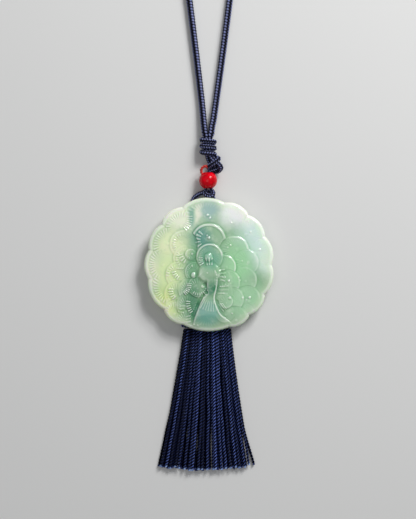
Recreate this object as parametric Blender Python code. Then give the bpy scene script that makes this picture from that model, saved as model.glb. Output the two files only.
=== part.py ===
"""A jade bag charm lying face up: a carved peacock pendant on a braided loop, with a bead and a tassel.

Metres, +Z up. The origin is the middle of the pendant's flat back, +Y points to the hanging loop.
"""

import math

import bpy
import numpy as np
from mathutils import Vector
from mathutils.geometry import delaunay_2d_cdt

# The jade pendant
JADE_WIDTH = 0.0431
JADE_HEIGHT = 0.0452
BACK_RISE = 0.0030  # how far the back of the rim is above the flat of the back
BACK_SLOPE = 0.0090  # the width of the band over which the back rises
BACK_CURVE = 1.15  # 1 for a straight rise, and more for one that steepens towards the rim
TUNNEL_IN = 0.0051  # from the pendant's edge in to each tunnel's middle
RIM_FRONT = 0.0053  # the height of the front at the rim, over the flat of the back
RIM_ROUND = 0.0008  # the rounding where the front and the back meet the edge
DOME = 0.0011  # how much higher the middle of the fan is than its rim
CUSPS = (0.7, 28.2, 52.8, 76.8, 114, 138.8, 165.5, 193.1, 224.9, 247.4, 287.3, 308.4, 331.8)  # degrees
CUSP_SHARE = 0.967  # the cusps' distance from the centre, as a share of the half width and height
BULGE = 0.316  # a lobe's bulge as a share of half its width
FOOT_BULGE = 0.225  # the same for the broad lobe at the foot

# The fan. A feather is (across, up, radius), as shares of half the pendant's width
FEATHER_STEP = 0.00035  # from one row of feathers up to the next
FEATHER_LIP = 0.00026  # the raised ring round a feather
FEATHER_TILT = 0.00012  # how far a feather's outer edge stands above its middle
LIP_SHARE = 0.11  # half the ring's width, as a share of the feather's radius
EYE_HEIGHT = 0.00035
EYE_SHARE = 0.22  # the eye's radius, as a share of the feather's
EYE_OUT = 0.22  # how far out from the feather's middle the eye is, as the same share
STEP_SOFT = 0.00013  # half the width of the slope at a feather's edge
TOP_ROW = ((0.240, -0.575, 0.125), (-0.165, -0.325, 0.172), (0.003, 0.132, 0.210))
INNER_ROW = (
    (0.240, -0.740, 0.150),
    (0.205, -0.400, 0.160),
    (0.400, -0.816, 0.187),
    (0.354, -0.521, 0.185),
    (0.291, -0.256, 0.190),
    (0.229, -0.023, 0.187),
    (-0.347, -0.847, 0.180),
    (-0.331, -0.614, 0.185),
    (-0.300, -0.381, 0.185),
    (-0.222, -0.101, 0.160),
)
MIDDLE_ROW = (
    (0.545, -0.770, 0.190),
    (0.586, -0.520, 0.210),
    (0.524, -0.225, 0.218),
    (0.560, 0.045, 0.205),
    (0.384, 0.225, 0.233),
    (-0.520, -0.720, 0.195),
    (-0.490, -0.445, 0.215),
    (-0.470, -0.150, 0.215),
    (-0.360, 0.110, 0.205),
    (-0.400, 0.330, 0.220),
    (-0.012, 0.381, 0.272),
)
LOBE_EYE_IN = 0.29  # a lobe's eye, inwards from the outline
LOBE_EYE = 0.060
LOBE_LIP = 0.030
LOBE_LIP_IN = 0.065  # the lobe's raised line, inwards from the outline
GROOVE_REACH = 0.42  # how far in the groove between two lobes runs before it fades out

# The peacock. A dome is (across, up, half width, half height) in the same shares, and its height
CREST_TIP = (-0.005, 0.132, 0.078, 0.078, 0.0009)
CREST_STEM = (0.000, 0.020, 0.058, 0.120, 0.0007)
HEAD = (0.022, -0.110, 0.115, 0.128, 0.0015)
FACE = (-0.112, -0.090, 0.080, 0.105, 0.0011)
BODY_UP = (-0.15, -0.288, -0.381, -0.505, -0.630, -0.769, -0.878, -0.972)
BODY_LEFT = (-0.060, -0.044, -0.044, -0.106, -0.168, -0.222, -0.261, -0.292)
BODY_RIGHT = (0.130, 0.127, 0.112, 0.089, 0.120, 0.197, 0.337, 0.446)
BODY_HEIGHT = 0.0011
WING_EDGE = (
    (0.058, -0.008),
    (0.135, -0.148),
    (0.137, -0.319),
    (0.090, -0.505),
    (0.120, -0.630),
    (0.190, -0.769),
    (0.340, -0.878),
)
WING_EDGE_HALF, WING_EDGE_HEIGHT = 0.022, 0.00030
PEDESTAL = 0.00080  # the height of the bird's outline above the outermost feathers
BIRD_SOFT = 0.00030  # the height at which the bird has left the fan

# The cords
LOOP_CORD = 0.0024
SQUEEZED = 0.60  # the loop cord's thickness inside the wraps, as a share of its own
WRAP_CORD = 0.00150
KNOT_CORD = 0.0017
IN_BEAD = 0.70  # the knot cord's thickness inside the bead, as a share of its own
BEAD_SWELL = 0.0012  # the length over which a cord swells again beyond the bead
LOOP_SWELL = 0.0035  # the same beyond the wraps
TIE_CORD = 0.0008
THREAD = 0.0008
CLEARANCE = 0.0003

# The bead, the wraps and the tassel
BEAD_DIAMETER = 0.0061
BEAD_BORE = 0.0030
BEAD_GAP = 0.0028  # from the pendant's top edge to the bead
KNOT_RUN = 0.0055  # from the bead to the wraps
WRAP_TURNS = 3
LAST_TURN_SHORT = 0.15  # how much of the last turn is tucked in behind
WRAP_PITCH = 0.0021
WRAP_STEPS = 14  # points to a turn
TIE_IN = 0.0014  # how far the tassel's tie is tucked in under the pendant's edge
TASSEL_LENGTH = 0.0464
TASSEL_TOP_WIDTH = 0.0164
TASSEL_FOOT_WIDTH = 0.0320
TASSEL_FLARE = 0.75  # the share of the widening that runs straight, where the rest curves outwards
TASSEL_X = -0.0007
TASSEL_DRIFT = -0.0009  # how far the tassel leans to the left at its foot
TASSEL_SAG = 0.0016  # how much longer its middle is than its corners
TASSEL_TOP_THICK = 0.0019
TASSEL_FOOT_THICK = 0.0033
TASSEL_ROWS = (0.0, 0.08, 0.3, 0.65, 1.0)
STRANDS_ACROSS = 28
FLUTE = 0.3  # the depth of the grooves between strands, as a share of their pitch
FLOOR_GAP = 0.00005  # how far a cord's underside stays above the surface it lies on

# The pendant's mesh
LOBE_STEPS = 7  # points round each lobe
BORDER_IN = 0.3  # where the front and the back meet the edge, inwards, as a share of RIM_ROUND
FINE = 0.00095  # between points along an edge of the carving
CLOSEST = 0.00034  # between any two points of the carving
COARSE = 0.0015  # between points elsewhere
BEAD_STEPS, BEAD_SIDES = 10, 24
CORD_STEP = 0.0010  # between points along the knots
LINE_STEPS = 12  # points between two given ones of a smooth line

JADE_GREEN, JADE_ROUGHNESS = (0.45, 0.62, 0.46), 0.25
NAVY, CLOTH_ROUGHNESS = (0.030, 0.035, 0.110), 0.75
RED, BEAD_ROUGHNESS = (0.55, 0.01, 0.02), 0.15

HALF = JADE_WIDTH / 2


def made(name, mesh, colour, roughness):
    """An object of that mesh with a material of its own."""
    thing = bpy.data.objects.new(name, mesh)
    bpy.context.scene.collection.objects.link(thing)
    material = bpy.data.materials.new(name)
    material.use_nodes = True
    shader = material.node_tree.nodes["Principled BSDF"]
    shader.inputs["Base Color"].default_value = (*colour, 1)
    shader.inputs["Roughness"].default_value = roughness
    mesh.materials.append(material)
    return thing


def mesh_of(name, points, faces):
    mesh = bpy.data.meshes.new(name)
    mesh.from_pydata([tuple(p) for p in points], [], faces)
    mesh.validate()
    return mesh


# Outline of the pendant


def cusp_point(angle):
    """The cusp at that angle, on an ellipse inside the outline."""
    a, b = CUSP_SHARE * JADE_WIDTH / 2, CUSP_SHARE * JADE_HEIGHT / 2
    radius = 1 / math.hypot(math.cos(angle) / a, math.sin(angle) / b)
    return np.array([radius * math.cos(angle), radius * math.sin(angle)])


def lobe_circle(first, last):
    """The centre and radius of the arc between two cusps, given as angles."""
    start, end = cusp_point(first), cusp_point(last)
    middle, width = (start + end) / 2, np.linalg.norm(end - start) / 2
    at_foot = first < math.radians(270) < last
    bulge = (FOOT_BULGE if at_foot else BULGE) * width
    radius = (width**2 + bulge**2) / (2 * bulge)
    outward = middle / np.linalg.norm(middle)
    return middle + outward * (bulge - radius), radius


CUSP_ANGLES = np.radians(CUSPS + (CUSPS[0] + 360,))
LOBES = [lobe_circle(a, b) for a, b in zip(CUSP_ANGLES[:-1], CUSP_ANGLES[1:])]
LOBE_CENTRES = np.array([centre for centre, _ in LOBES])
LOBE_RADII = np.array([radius for _, radius in LOBES])


def lobe_at(angle):
    """The index of the lobe that holds each angle."""
    turned = np.mod(angle - CUSP_ANGLES[0], 2 * math.pi) + CUSP_ANGLES[0]
    return np.clip(np.searchsorted(CUSP_ANGLES, turned, side="right") - 1, 0, len(LOBES) - 1)


def reach(angle):
    """The outline's distance from the centre at each angle."""
    k = lobe_at(angle)
    along = LOBE_CENTRES[k, 0] * np.cos(angle) + LOBE_CENTRES[k, 1] * np.sin(angle)
    return along + np.sqrt(LOBE_RADII[k] ** 2 - (LOBE_CENTRES[k] ** 2).sum(-1) + along**2)


def reach_at_degrees(degrees):
    return float(reach(np.array(math.radians(degrees))))


JADE_TOP = reach_at_degrees(90)
JADE_FOOT = -reach_at_degrees(270)


def edge_distance(x, y):
    """How far each point is inside the outline, along the line to the centre."""
    return reach(np.arctan2(y, x)) - np.hypot(x, y)


# Relief of the front


def smooth(t):
    t = np.clip(t, 0, 1)
    return t * t * (3 - 2 * t)


def ridge(distance, half_width):
    """A rounded ridge, 1 on its line and 0 at its half width."""
    return np.sqrt(np.maximum(0, 1 - (distance / half_width) ** 2))


def feathers():
    """Every round feather from the topmost down: (centre, radius, direction outwards, height)."""
    found = []
    for row, members in ((3, TOP_ROW), (2, INNER_ROW), (1, MIDDLE_ROW)):
        for across, up, radius in members:
            centre = np.array([across, up]) * HALF
            outward = centre / np.linalg.norm(centre)
            found.append((centre, radius * HALF, outward, row * FEATHER_STEP))
    return found


FEATHERS = feathers()


def feather_height(x, y, centre, radius, outward, level):
    """A feather's tilted disc at its level, with the ring round it and its eye."""
    dx, dy = x - centre[0], y - centre[1]
    tilt = FEATHER_TILT * (dx * outward[0] + dy * outward[1]) / radius
    lip = radius * LIP_SHARE
    ring_line = ridge(np.hypot(dx, dy) - radius + lip, lip)
    out = EYE_OUT * radius
    eye_away = np.hypot(dx - out * outward[0], dy - out * outward[1])
    return level + tilt + FEATHER_LIP * ring_line + EYE_HEIGHT * ridge(eye_away, radius * EYE_SHARE)


def lobe_height(x, y):
    """The outermost feathers, one to each lobe of the outline, with a groove between them."""
    angle = np.arctan2(y, x)
    k = lobe_at(angle)
    inside = (LOBE_RADII[k] - np.hypot(x - LOBE_CENTRES[k, 0], y - LOBE_CENTRES[k, 1])) / HALF
    height = FEATHER_LIP * ridge(inside - LOBE_LIP_IN, LOBE_LIP)
    outward = LOBE_CENTRES[k] / np.linalg.norm(LOBE_CENTRES[k], axis=-1)[..., None]
    eye = LOBE_CENTRES[k] + outward * (LOBE_RADII[k] - LOBE_EYE_IN * HALF)[..., None]
    height = height + EYE_HEIGHT * ridge(np.hypot(x - eye[..., 0], y - eye[..., 1]) / HALF, LOBE_EYE)
    to_cusp = np.abs(np.mod(angle[..., None] - CUSP_ANGLES[:-1] + math.pi, 2 * math.pi) - math.pi).min(-1)
    groove = 1 - smooth(to_cusp * np.hypot(x, y) / HALF / (LOBE_LIP * 1.5))
    return height - FEATHER_LIP * groove * (1 - smooth(inside / GROOVE_REACH))


def fan_height(x, y):
    """The fan of feathers, where an upper feather hides those under it."""
    height = lobe_height(x, y)
    for centre, radius, outward, level in reversed(FEATHERS):
        away = np.hypot(x - centre[0], y - centre[1])
        cover = 1 - smooth((away - radius + STEP_SOFT) / (2 * STEP_SOFT))
        height = height + cover * (feather_height(x, y, centre, radius, outward, level) - height)
    return height


def curve_value(at, places, values):
    """A smooth curve through the values, by Catmull-Rom."""
    order = np.argsort(places)
    places, values = np.array(places, float)[order], np.array(values, float)[order]
    slopes = np.gradient(values, places)
    k = np.clip(np.searchsorted(places, at) - 1, 0, len(places) - 2)
    step = places[k + 1] - places[k]
    t = np.clip((at - places[k]) / step, 0, 1)
    keep = 2 * t**3 - 3 * t**2 + 1
    turn = (t**3 - 2 * t**2 + t) * slopes[k] + (t**3 - t**2) * slopes[k + 1]
    return keep * values[k] + (1 - keep) * values[k + 1] + step * turn


def line_points(points):
    """Points along a smooth Catmull-Rom line through the given ones."""
    p = np.array(points, float)
    p = np.concatenate([[2 * p[0] - p[1]], p, [2 * p[-1] - p[-2]]])
    found = []
    for a, b, c, d in zip(p[:-3], p[1:-2], p[2:-1], p[3:]):
        for t in np.arange(LINE_STEPS) / LINE_STEPS:
            found.append(b + 0.5 * t * (c - a + t * (2 * a - 5 * b + 4 * c - d + t * (3 * (b - c) + d - a))))
    found.append(p[-2])
    return np.array(found)


def line_distance(x, y, line):
    """The distance from each point to a line."""
    best = np.full(np.shape(x), np.inf)
    for a, b in zip(line[:-1], line[1:]):
        d = b - a
        t = np.clip(((x - a[0]) * d[0] + (y - a[1]) * d[1]) / (d @ d), 0, 1)
        best = np.minimum(best, np.hypot(x - a[0] - t * d[0], y - a[1] - t * d[1]))
    return best


WING_LINE = line_points(WING_EDGE)


def dome(x, y, across, up, half_width, half_height, height):
    """A smooth dome over an oval."""
    return height * ridge(np.hypot((x - across) / half_width, (y - up) / half_height), 1.0)


def peacock_height(x, y):
    """The bird's height over its outline, with x and y as shares: 0 outside it."""
    left, right = (curve_value(y, BODY_UP, side) for side in (BODY_LEFT, BODY_RIGHT))
    middle, half = (left + right) / 2, (right - left) / 2
    bird = BODY_HEIGHT * ridge(x - middle, half) * smooth((BODY_UP[0] - y) / 0.08)
    for shape in (CREST_TIP, CREST_STEM, HEAD, FACE):
        bird = np.maximum(bird, dome(x, y, *shape))
    return bird + WING_EDGE_HEIGHT * ridge(line_distance(x, y, WING_LINE), WING_EDGE_HALF)


def rounding(inside):
    """How far the surface falls back near the edge."""
    return RIM_ROUND * (1 - np.sqrt(1 - np.clip(1 - inside / RIM_ROUND, 0, 1) ** 2))


def front_height(x, y):
    """The height of the carved front over each point, in metres."""
    inside = edge_distance(x, y)
    share = np.clip(1 - inside / HALF, 0, 1)
    bird = peacock_height(x / HALF, y / HALF)
    cover = smooth(bird / BIRD_SOFT)
    relief = fan_height(x, y) * (1 - cover) + (PEDESTAL + bird) * cover
    settle = smooth(inside / (3 * RIM_ROUND))
    return RIM_FRONT + DOME * (1 - share**2) + relief * settle - rounding(inside)


def back_height(x, y):
    """The height of the back over each point: flat, then rising towards the rim."""
    inside = edge_distance(x, y)
    return BACK_RISE * np.clip(1 - inside / BACK_SLOPE, 0, 1) ** BACK_CURVE + rounding(inside)


# The pendant's mesh


def outline_angles():
    """Angles round the outline, with the same number of steps to each lobe."""
    found = []
    for a, b in zip(CUSP_ANGLES[:-1], CUSP_ANGLES[1:]):
        found += [a + (b - a) * i / LOBE_STEPS for i in range(LOBE_STEPS)]
    return np.array(found)


def ring(angles, inset):
    """The outline, brought in by that distance."""
    radius = reach(angles) - inset
    return np.stack([radius * np.cos(angles), radius * np.sin(angles)], -1)


def circle(centre, radius, spacing):
    turn = np.linspace(0, 2 * math.pi, max(6, round(2 * math.pi * radius / spacing)), endpoint=False)
    return centre + radius * np.stack([np.cos(turn), np.sin(turn)], -1)


def bird_points(spacing):
    """Points just outside, just inside and well inside the bird's outline, and on its ridge."""
    found = []
    for across, high, half_width, half_height, _ in (HEAD, FACE, CREST_TIP, CREST_STEM):
        steps = round(2 * math.pi * half_width * HALF / spacing) + 3
        turn = np.linspace(0, 2 * math.pi, steps, endpoint=False)
        for share in (0.55, 0.93, 1.04):
            x, y = across + share * half_width * np.cos(turn), high + share * half_height * np.sin(turn)
            found.append(np.stack([x, y], -1) * HALF)
    up = np.arange(BODY_UP[0] - 0.1, BODY_UP[-1], -spacing / HALF)
    left, right = (curve_value(up, BODY_UP, side) for side in (BODY_LEFT, BODY_RIGHT))
    for share in (1.03, 0.86, 0.5, 0.0):
        for side in (-1, 1):
            x = (left + right) / 2 + side * share * (right - left) / 2
            found.append(np.stack([x, up], -1) * HALF)
    found.append(WING_LINE[::5] * HALF)
    return np.concatenate(found)


def feather_points(spacing):
    """Points at the foot, on the crest and inside the ring of each feather, where they show."""
    found = []
    for i, (centre, radius, outward, _) in enumerate(FEATHERS):
        lip = radius * LIP_SHARE
        eye = centre + EYE_OUT * radius * outward
        loops = [circle(centre, radius + STEP_SOFT, spacing), circle(centre, radius - lip, spacing)]
        loops += [circle(centre, radius - 2.1 * lip, spacing * 1.2), circle(eye, radius * EYE_SHARE, spacing)]
        points = np.concatenate([eye[None], *loops])
        for upper, reach_up, _, _ in FEATHERS[:i]:
            points = points[np.linalg.norm(points - upper, axis=1) > reach_up + STEP_SOFT]
        found.append(points)
    for centre, radius in LOBES:
        outward = centre / np.linalg.norm(centre)
        eye = centre + outward * (radius - LOBE_EYE_IN * HALF)
        points = np.concatenate([eye[None], circle(eye, LOBE_EYE * HALF, spacing)])
        for upper, reach_up, _, _ in FEATHERS:
            points = points[np.linalg.norm(points - upper, axis=1) > reach_up + STEP_SOFT]
        found.append(points)
    found = np.concatenate(found)
    bird = peacock_height(found[:, 0] / HALF, found[:, 1] / HALF)
    return found[bird <= 0]


def fill_points(spacing):
    """A triangular grid over the pendant's face."""
    across = np.arange(-JADE_WIDTH / 2, JADE_WIDTH / 2, spacing)
    up = np.arange(-JADE_HEIGHT / 2, JADE_HEIGHT / 2, spacing * math.sqrt(3) / 2)
    x, y = np.meshgrid(across, up)
    x = x + (np.arange(len(up)) % 2)[:, None] * spacing / 2
    return np.stack([x.ravel(), y.ravel()], -1)


def thinned(points, apart, taken=()):
    """The points in order, without those closer than that to one already kept."""
    kept, cells = [], {}

    def near(p):
        i, j = int(p[0] // apart), int(p[1] // apart)
        around = (cells.get((i + a, j + b), ()) for a in (-1, 0, 1) for b in (-1, 0, 1))
        return any(math.dist(p, q) < apart for group in around for q in group)

    def put(p):
        cells.setdefault((int(p[0] // apart), int(p[1] // apart)), []).append(tuple(p))

    for p in taken:
        put(p)
    for p in points:
        if not near(p):
            put(p)
            kept.append(p)
    return np.array(kept)


def triangulated(border, inner):
    """Triangles over the inside of the border, through all the points."""
    points = np.concatenate([border, inner])
    edges = [(i, (i + 1) % len(border)) for i in range(len(border))]
    found = delaunay_2d_cdt([Vector(p) for p in points], edges, [], 1, 1e-8)
    corners = np.array([tuple(v) for v in found[0]])
    return corners, [tuple(face) for face in found[2]]


def jade_mesh():
    """The pendant before its tunnels are drilled: carved front, sloping back and rounded edge."""
    angles = outline_angles()
    border = ring(angles, RIM_ROUND * BORDER_IN)
    lobe_line, lobe_foot = LOBE_LIP_IN * HALF, (LOBE_LIP_IN + LOBE_LIP) * HALF
    rings = [ring(angles, inset) for inset in (RIM_ROUND * 1.1, lobe_line, lobe_foot)]
    features = np.concatenate([*rings, bird_points(FINE), feather_points(FINE)])
    features = thinned(features[edge_distance(*features.T) > RIM_ROUND], CLOSEST, border)
    fill = fill_points(COARSE)
    fill = thinned(fill[edge_distance(*fill.T) > RIM_ROUND], COARSE * 0.62, [*border, *features])
    front, front_faces = triangulated(border, np.concatenate([features, fill]))
    slopes = [(2, RIM_ROUND * 1.4), (3, BACK_SLOPE / 2), (4, BACK_SLOPE)]
    slopes = np.concatenate([ring(angles[::skip], inset) for skip, inset in slopes])
    back, back_faces = triangulated(border, thinned(slopes, FINE, border))
    points = [(x, y, z) for (x, y), z in zip(front, front_height(front[:, 0], front[:, 1]))]
    points += [(x, y, z) for (x, y), z in zip(back, back_height(back[:, 0], back[:, 1]))]
    faces = front_faces + [tuple(len(front) + i for i in reversed(face)) for face in back_faces]
    edge = ring(angles, 0.0)
    first, count = len(points), len(edge)
    middle = (RIM_FRONT + BACK_RISE) / 2
    points += [(x, y, middle) for x, y in edge]
    for i in range(count):
        j = (i + 1) % count
        faces.append((i, first + i, first + j, j))
        faces.append((first + i, len(front) + i, len(front) + j, first + j))
    return mesh_of("jade_pendant", points, faces)


# Cords


def route(points, spacing, closed=False):
    """Evenly spaced points along a smooth line through hand-chosen ones."""
    p = list(points)
    if closed:
        p = p[-2:] + p + p[:2]
    line = line_points(p)
    if closed:
        line = line[2 * LINE_STEPS : -LINE_STEPS]
    gone = np.concatenate([[0], np.cumsum(np.linalg.norm(np.diff(line, axis=0), axis=1))])
    count = max(4, round(gone[-1] / spacing))
    at = np.linspace(0, gone[-1], count + 1)
    return np.stack([np.interp(at, gone, line[:, k]) for k in range(3)], -1)


def tube(name, line, diameter, closed=False, shares=None, colour=None):
    """A cord's curve object: a round tube along the line."""
    curve = bpy.data.curves.new(name, "CURVE")
    curve.dimensions = "3D"
    curve.bevel_depth = diameter / 2
    curve.bevel_resolution = 2
    curve.use_fill_caps = True
    spline = curve.splines.new("POLY")
    line = line[:-1] if closed else line
    spline.points.add(len(line) - 1)
    for i, p in enumerate(line):
        spline.points[i].co = (*p, 1)
        spline.points[i].radius = 1 if shares is None else shares[i]
    spline.use_cyclic_u = closed
    return made(name, curve, colour or NAVY, CLOTH_ROUGHNESS)


def drill(body, name, line, diameter, closed=False):
    """Cuts the passage that a cord needs out of a body, along the cord's own line."""
    pattern = tube(name + "_pattern", line, diameter + 2 * CLEARANCE, closed)
    cutter = bpy.data.objects.new(name, bpy.data.meshes.new_from_object(pattern))
    bpy.data.objects.remove(pattern)
    bpy.context.scene.collection.objects.link(cutter)
    cutter.hide_render = True
    cutter.display_type = "WIRE"
    cut = body.modifiers.new(name, "BOOLEAN")
    cut.operation = "DIFFERENCE"
    cut.object = cutter
    cut.solver = "EXACT"


BEAD_RADIUS = BEAD_DIAMETER / 2
BEAD_X = -0.0004
BEAD_Y = JADE_TOP + BEAD_GAP + BEAD_RADIUS
BEAD_Z = BEAD_RADIUS + FLOOR_GAP
WRAP_FOOT = BEAD_Y + BEAD_RADIUS + KNOT_RUN
WRAP_HIGH = WRAP_FOOT + WRAP_TURNS * WRAP_PITCH
WRAP_IN_ACROSS = SQUEEZED * LOOP_CORD + CLEARANCE
WRAP_IN_UP = SQUEEZED * LOOP_CORD / 2 + CLEARANCE
WRAP_Z = WRAP_IN_UP + WRAP_CORD + FLOOR_GAP
LOOP_Z = LOOP_CORD / 2 + FLOOR_GAP
KNOT_Z = KNOT_CORD / 2 + FLOOR_GAP
TIE_Y = JADE_FOOT + TIE_IN
TASSEL_FOOT = TIE_Y - TASSEL_LENGTH


def jade_pendant():
    jade = made("jade_pendant", jade_mesh(), JADE_GREEN, JADE_ROUGHNESS)
    drill(jade, "top_tunnel", pendant_loop_line(), KNOT_CORD)
    drill(jade, "foot_tunnel", tie_line(), TIE_CORD, closed=True)
    return jade


def pendant_loop_line():
    """Out of the bead, behind the jade, through its tunnel, and back up into the bead."""
    high, leg = BEAD_Y - BEAD_RADIUS, IN_BEAD * KNOT_CORD / 2 + CLEARANCE / 4
    tunnel = JADE_TOP - TUNNEL_IN
    points = [
        (BEAD_X - leg, BEAD_Y - 0.0008, BEAD_Z),
        (BEAD_X - leg, high + 0.0006, BEAD_Z),
        (BEAD_X - leg - 0.0006, high - 0.0008, BEAD_Z - 0.0002),
        (BEAD_X - 0.0032, high - 0.0016, BEAD_Z - 0.0010),
        (BEAD_X - 0.0048, high - 0.0029, KNOT_Z + 0.0005),
        (BEAD_X - 0.0053, high - 0.0045, KNOT_Z),
        (BEAD_X - 0.0047, tunnel + 0.0017, KNOT_Z),
        (BEAD_X - 0.0031, tunnel + 0.0001, KNOT_Z + 0.0002),
        (BEAD_X - 0.0017, tunnel - 0.0002, KNOT_Z + 0.0012),
        (BEAD_X, tunnel - 0.0003, KNOT_Z + 0.0018),
        (BEAD_X + 0.0017, tunnel - 0.0002, KNOT_Z + 0.0012),
        (BEAD_X + 0.0030, tunnel + 0.0003, KNOT_Z + 0.0002),
        (BEAD_X + 0.0031, tunnel + 0.0022, KNOT_Z),
        (BEAD_X + 0.0016, tunnel + 0.0042, KNOT_Z + 0.0002),
        (BEAD_X + 0.0013, high - 0.0029, KNOT_Z + 0.0010),
        (BEAD_X + 0.0026, high - 0.0022, BEAD_Z + 0.0002),
        (BEAD_X + 0.0028, high - 0.0009, BEAD_Z + 0.0008),
        (BEAD_X + leg + 0.0004, high - 0.0005, BEAD_Z + 0.0004),
        (BEAD_X + leg, high + 0.0008, BEAD_Z),
        (BEAD_X + leg, BEAD_Y - 0.0008, BEAD_Z),
    ]
    return route(points, CORD_STEP)


def bead_shares(line):
    """A knot cord's thickness along its line: thinner where the bead's bore squeezes it."""
    out = np.abs(line[:, 1] - BEAD_Y) - BEAD_RADIUS
    return IN_BEAD + (1 - IN_BEAD) * smooth(out / BEAD_SWELL)


def pendant_loop():
    line = pendant_loop_line()
    return tube("pendant_loop", line, KNOT_CORD, shares=bead_shares(line))


def tie_line():
    """Across behind the pendant's foot, where the strands fold over it, and through the lower tunnel."""
    side = TASSEL_TOP_WIDTH / 2 + TIE_CORD / 2
    across = TASSEL_TOP_THICK / 2
    tunnel = JADE_FOOT + TUNNEL_IN
    right = [
        (side * 0.5, TIE_Y, across),
        (side - 0.0008, TIE_Y + 0.0001, across),
        (side, TIE_Y + 0.0009, across),
        (side - 0.0010, TIE_Y + 0.0022, across - 0.0001),
        (0.0040, tunnel - 0.0004, 0.0006),
        (0.0021, tunnel, 0.0010),
    ]
    left = [(-x, y, z) for x, y, z in reversed(right)]
    points = [(0, TIE_Y, across), *right, (0, tunnel, 0.0022), *left]
    return route(points, TIE_CORD * 1.6, closed=True) + np.array([TASSEL_X, 0, 0])


def red_bead():
    """A sphere with a bore along Y, turned from its half section."""
    start = math.asin(BEAD_BORE / BEAD_DIAMETER)
    section = [(BEAD_BORE / 2, -BEAD_RADIUS * math.cos(start))]
    for i in range(1, BEAD_STEPS):
        turn = start + (math.pi - 2 * start) * i / BEAD_STEPS
        section.append((BEAD_RADIUS * math.sin(turn), -BEAD_RADIUS * math.cos(turn)))
    section.append((BEAD_BORE / 2, BEAD_RADIUS * math.cos(start)))
    points, faces = [], []
    for i in range(BEAD_SIDES):
        turn = 2 * math.pi * i / BEAD_SIDES
        for radius, along in section:
            points.append((BEAD_X + radius * math.cos(turn), BEAD_Y + along, BEAD_Z + radius * math.sin(turn)))
    count = len(section)
    for i in range(BEAD_SIDES):
        here, there = i * count, (i + 1) % BEAD_SIDES * count
        for k in range(count):
            after = (k + 1) % count
            faces.append((here + k, here + after, there + after, there + k))
    bead = made("red_bead", mesh_of("red_bead", points, faces), RED, BEAD_ROUGHNESS)
    bead.data.shade_smooth()
    return bead


def overhand_knot():
    """From the wraps, down the left, round a ring on the right and over the front into the bead."""
    high = BEAD_Y + BEAD_RADIUS
    run = KNOT_RUN
    points = [
        (BEAD_X - 0.0002, WRAP_FOOT - CLEARANCE, WRAP_Z),
        (BEAD_X - 0.0007, high + run * 0.70, WRAP_Z - 0.0003),
        (BEAD_X - 0.0007, high + run * 0.45, WRAP_Z - 0.0009),
        (BEAD_X + 0.0003, high + run * 0.20, KNOT_Z + 0.0002),
        (BEAD_X + 0.0019, high + run * 0.03, KNOT_Z),
        (BEAD_X + 0.0035, high - run * 0.02, KNOT_Z + 0.0005),
        (BEAD_X + 0.0046, high + run * 0.14, WRAP_Z - 0.0004),
        (BEAD_X + 0.0046, high + run * 0.44, WRAP_Z + 0.0005),
        (BEAD_X + 0.0035, high + run * 0.64, WRAP_Z + 0.0013),
        (BEAD_X + 0.0022, high + run * 0.62, WRAP_Z + 0.0019),
        (BEAD_X + 0.0010, high + run * 0.40, WRAP_Z + 0.0020),
        (BEAD_X + 0.0003, high + run * 0.20, WRAP_Z + 0.0015),
        (BEAD_X, high + run * 0.02, BEAD_Z + 0.0002),
        (BEAD_X, high - 0.0012, BEAD_Z),
    ]
    line = route(points, CORD_STEP)
    return tube("overhand_knot", line, KNOT_CORD, shares=bead_shares(line))


def red_thread():
    """A loop of thread that springs from the bead's upper left and ends at the knot."""
    high = BEAD_Y + BEAD_RADIUS
    points = [
        (BEAD_X - 0.0021, high - 0.0003, BEAD_Z + 0.0001),
        (BEAD_X - 0.0024, high + 0.0007, BEAD_Z + 0.0004),
        (BEAD_X - 0.0021, high + 0.0016, BEAD_Z + 0.0006),
        (BEAD_X - 0.0013, high + 0.0021, BEAD_Z + 0.0007),
        (BEAD_X - 0.0008, high + 0.0020, BEAD_Z + 0.0006),
    ]
    return tube("red_thread", route(points, THREAD * 0.7), THREAD, colour=RED)


def wrapped_knot():
    """Turns of cord round the squeezed strands of the loop."""
    across, up = WRAP_IN_ACROSS + WRAP_CORD / 2, WRAP_IN_UP + WRAP_CORD / 2
    line = []
    for i in range(round((WRAP_TURNS - LAST_TURN_SHORT) * WRAP_STEPS)):
        turn = 2 * math.pi * i / WRAP_STEPS
        along = WRAP_HIGH - WRAP_CORD / 2 - WRAP_PITCH * i / WRAP_STEPS
        line.append((BEAD_X + across * math.sin(turn), along, WRAP_Z - up * math.cos(turn)))
    return tube("wrapped_knot", np.array(line), WRAP_CORD)


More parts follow.
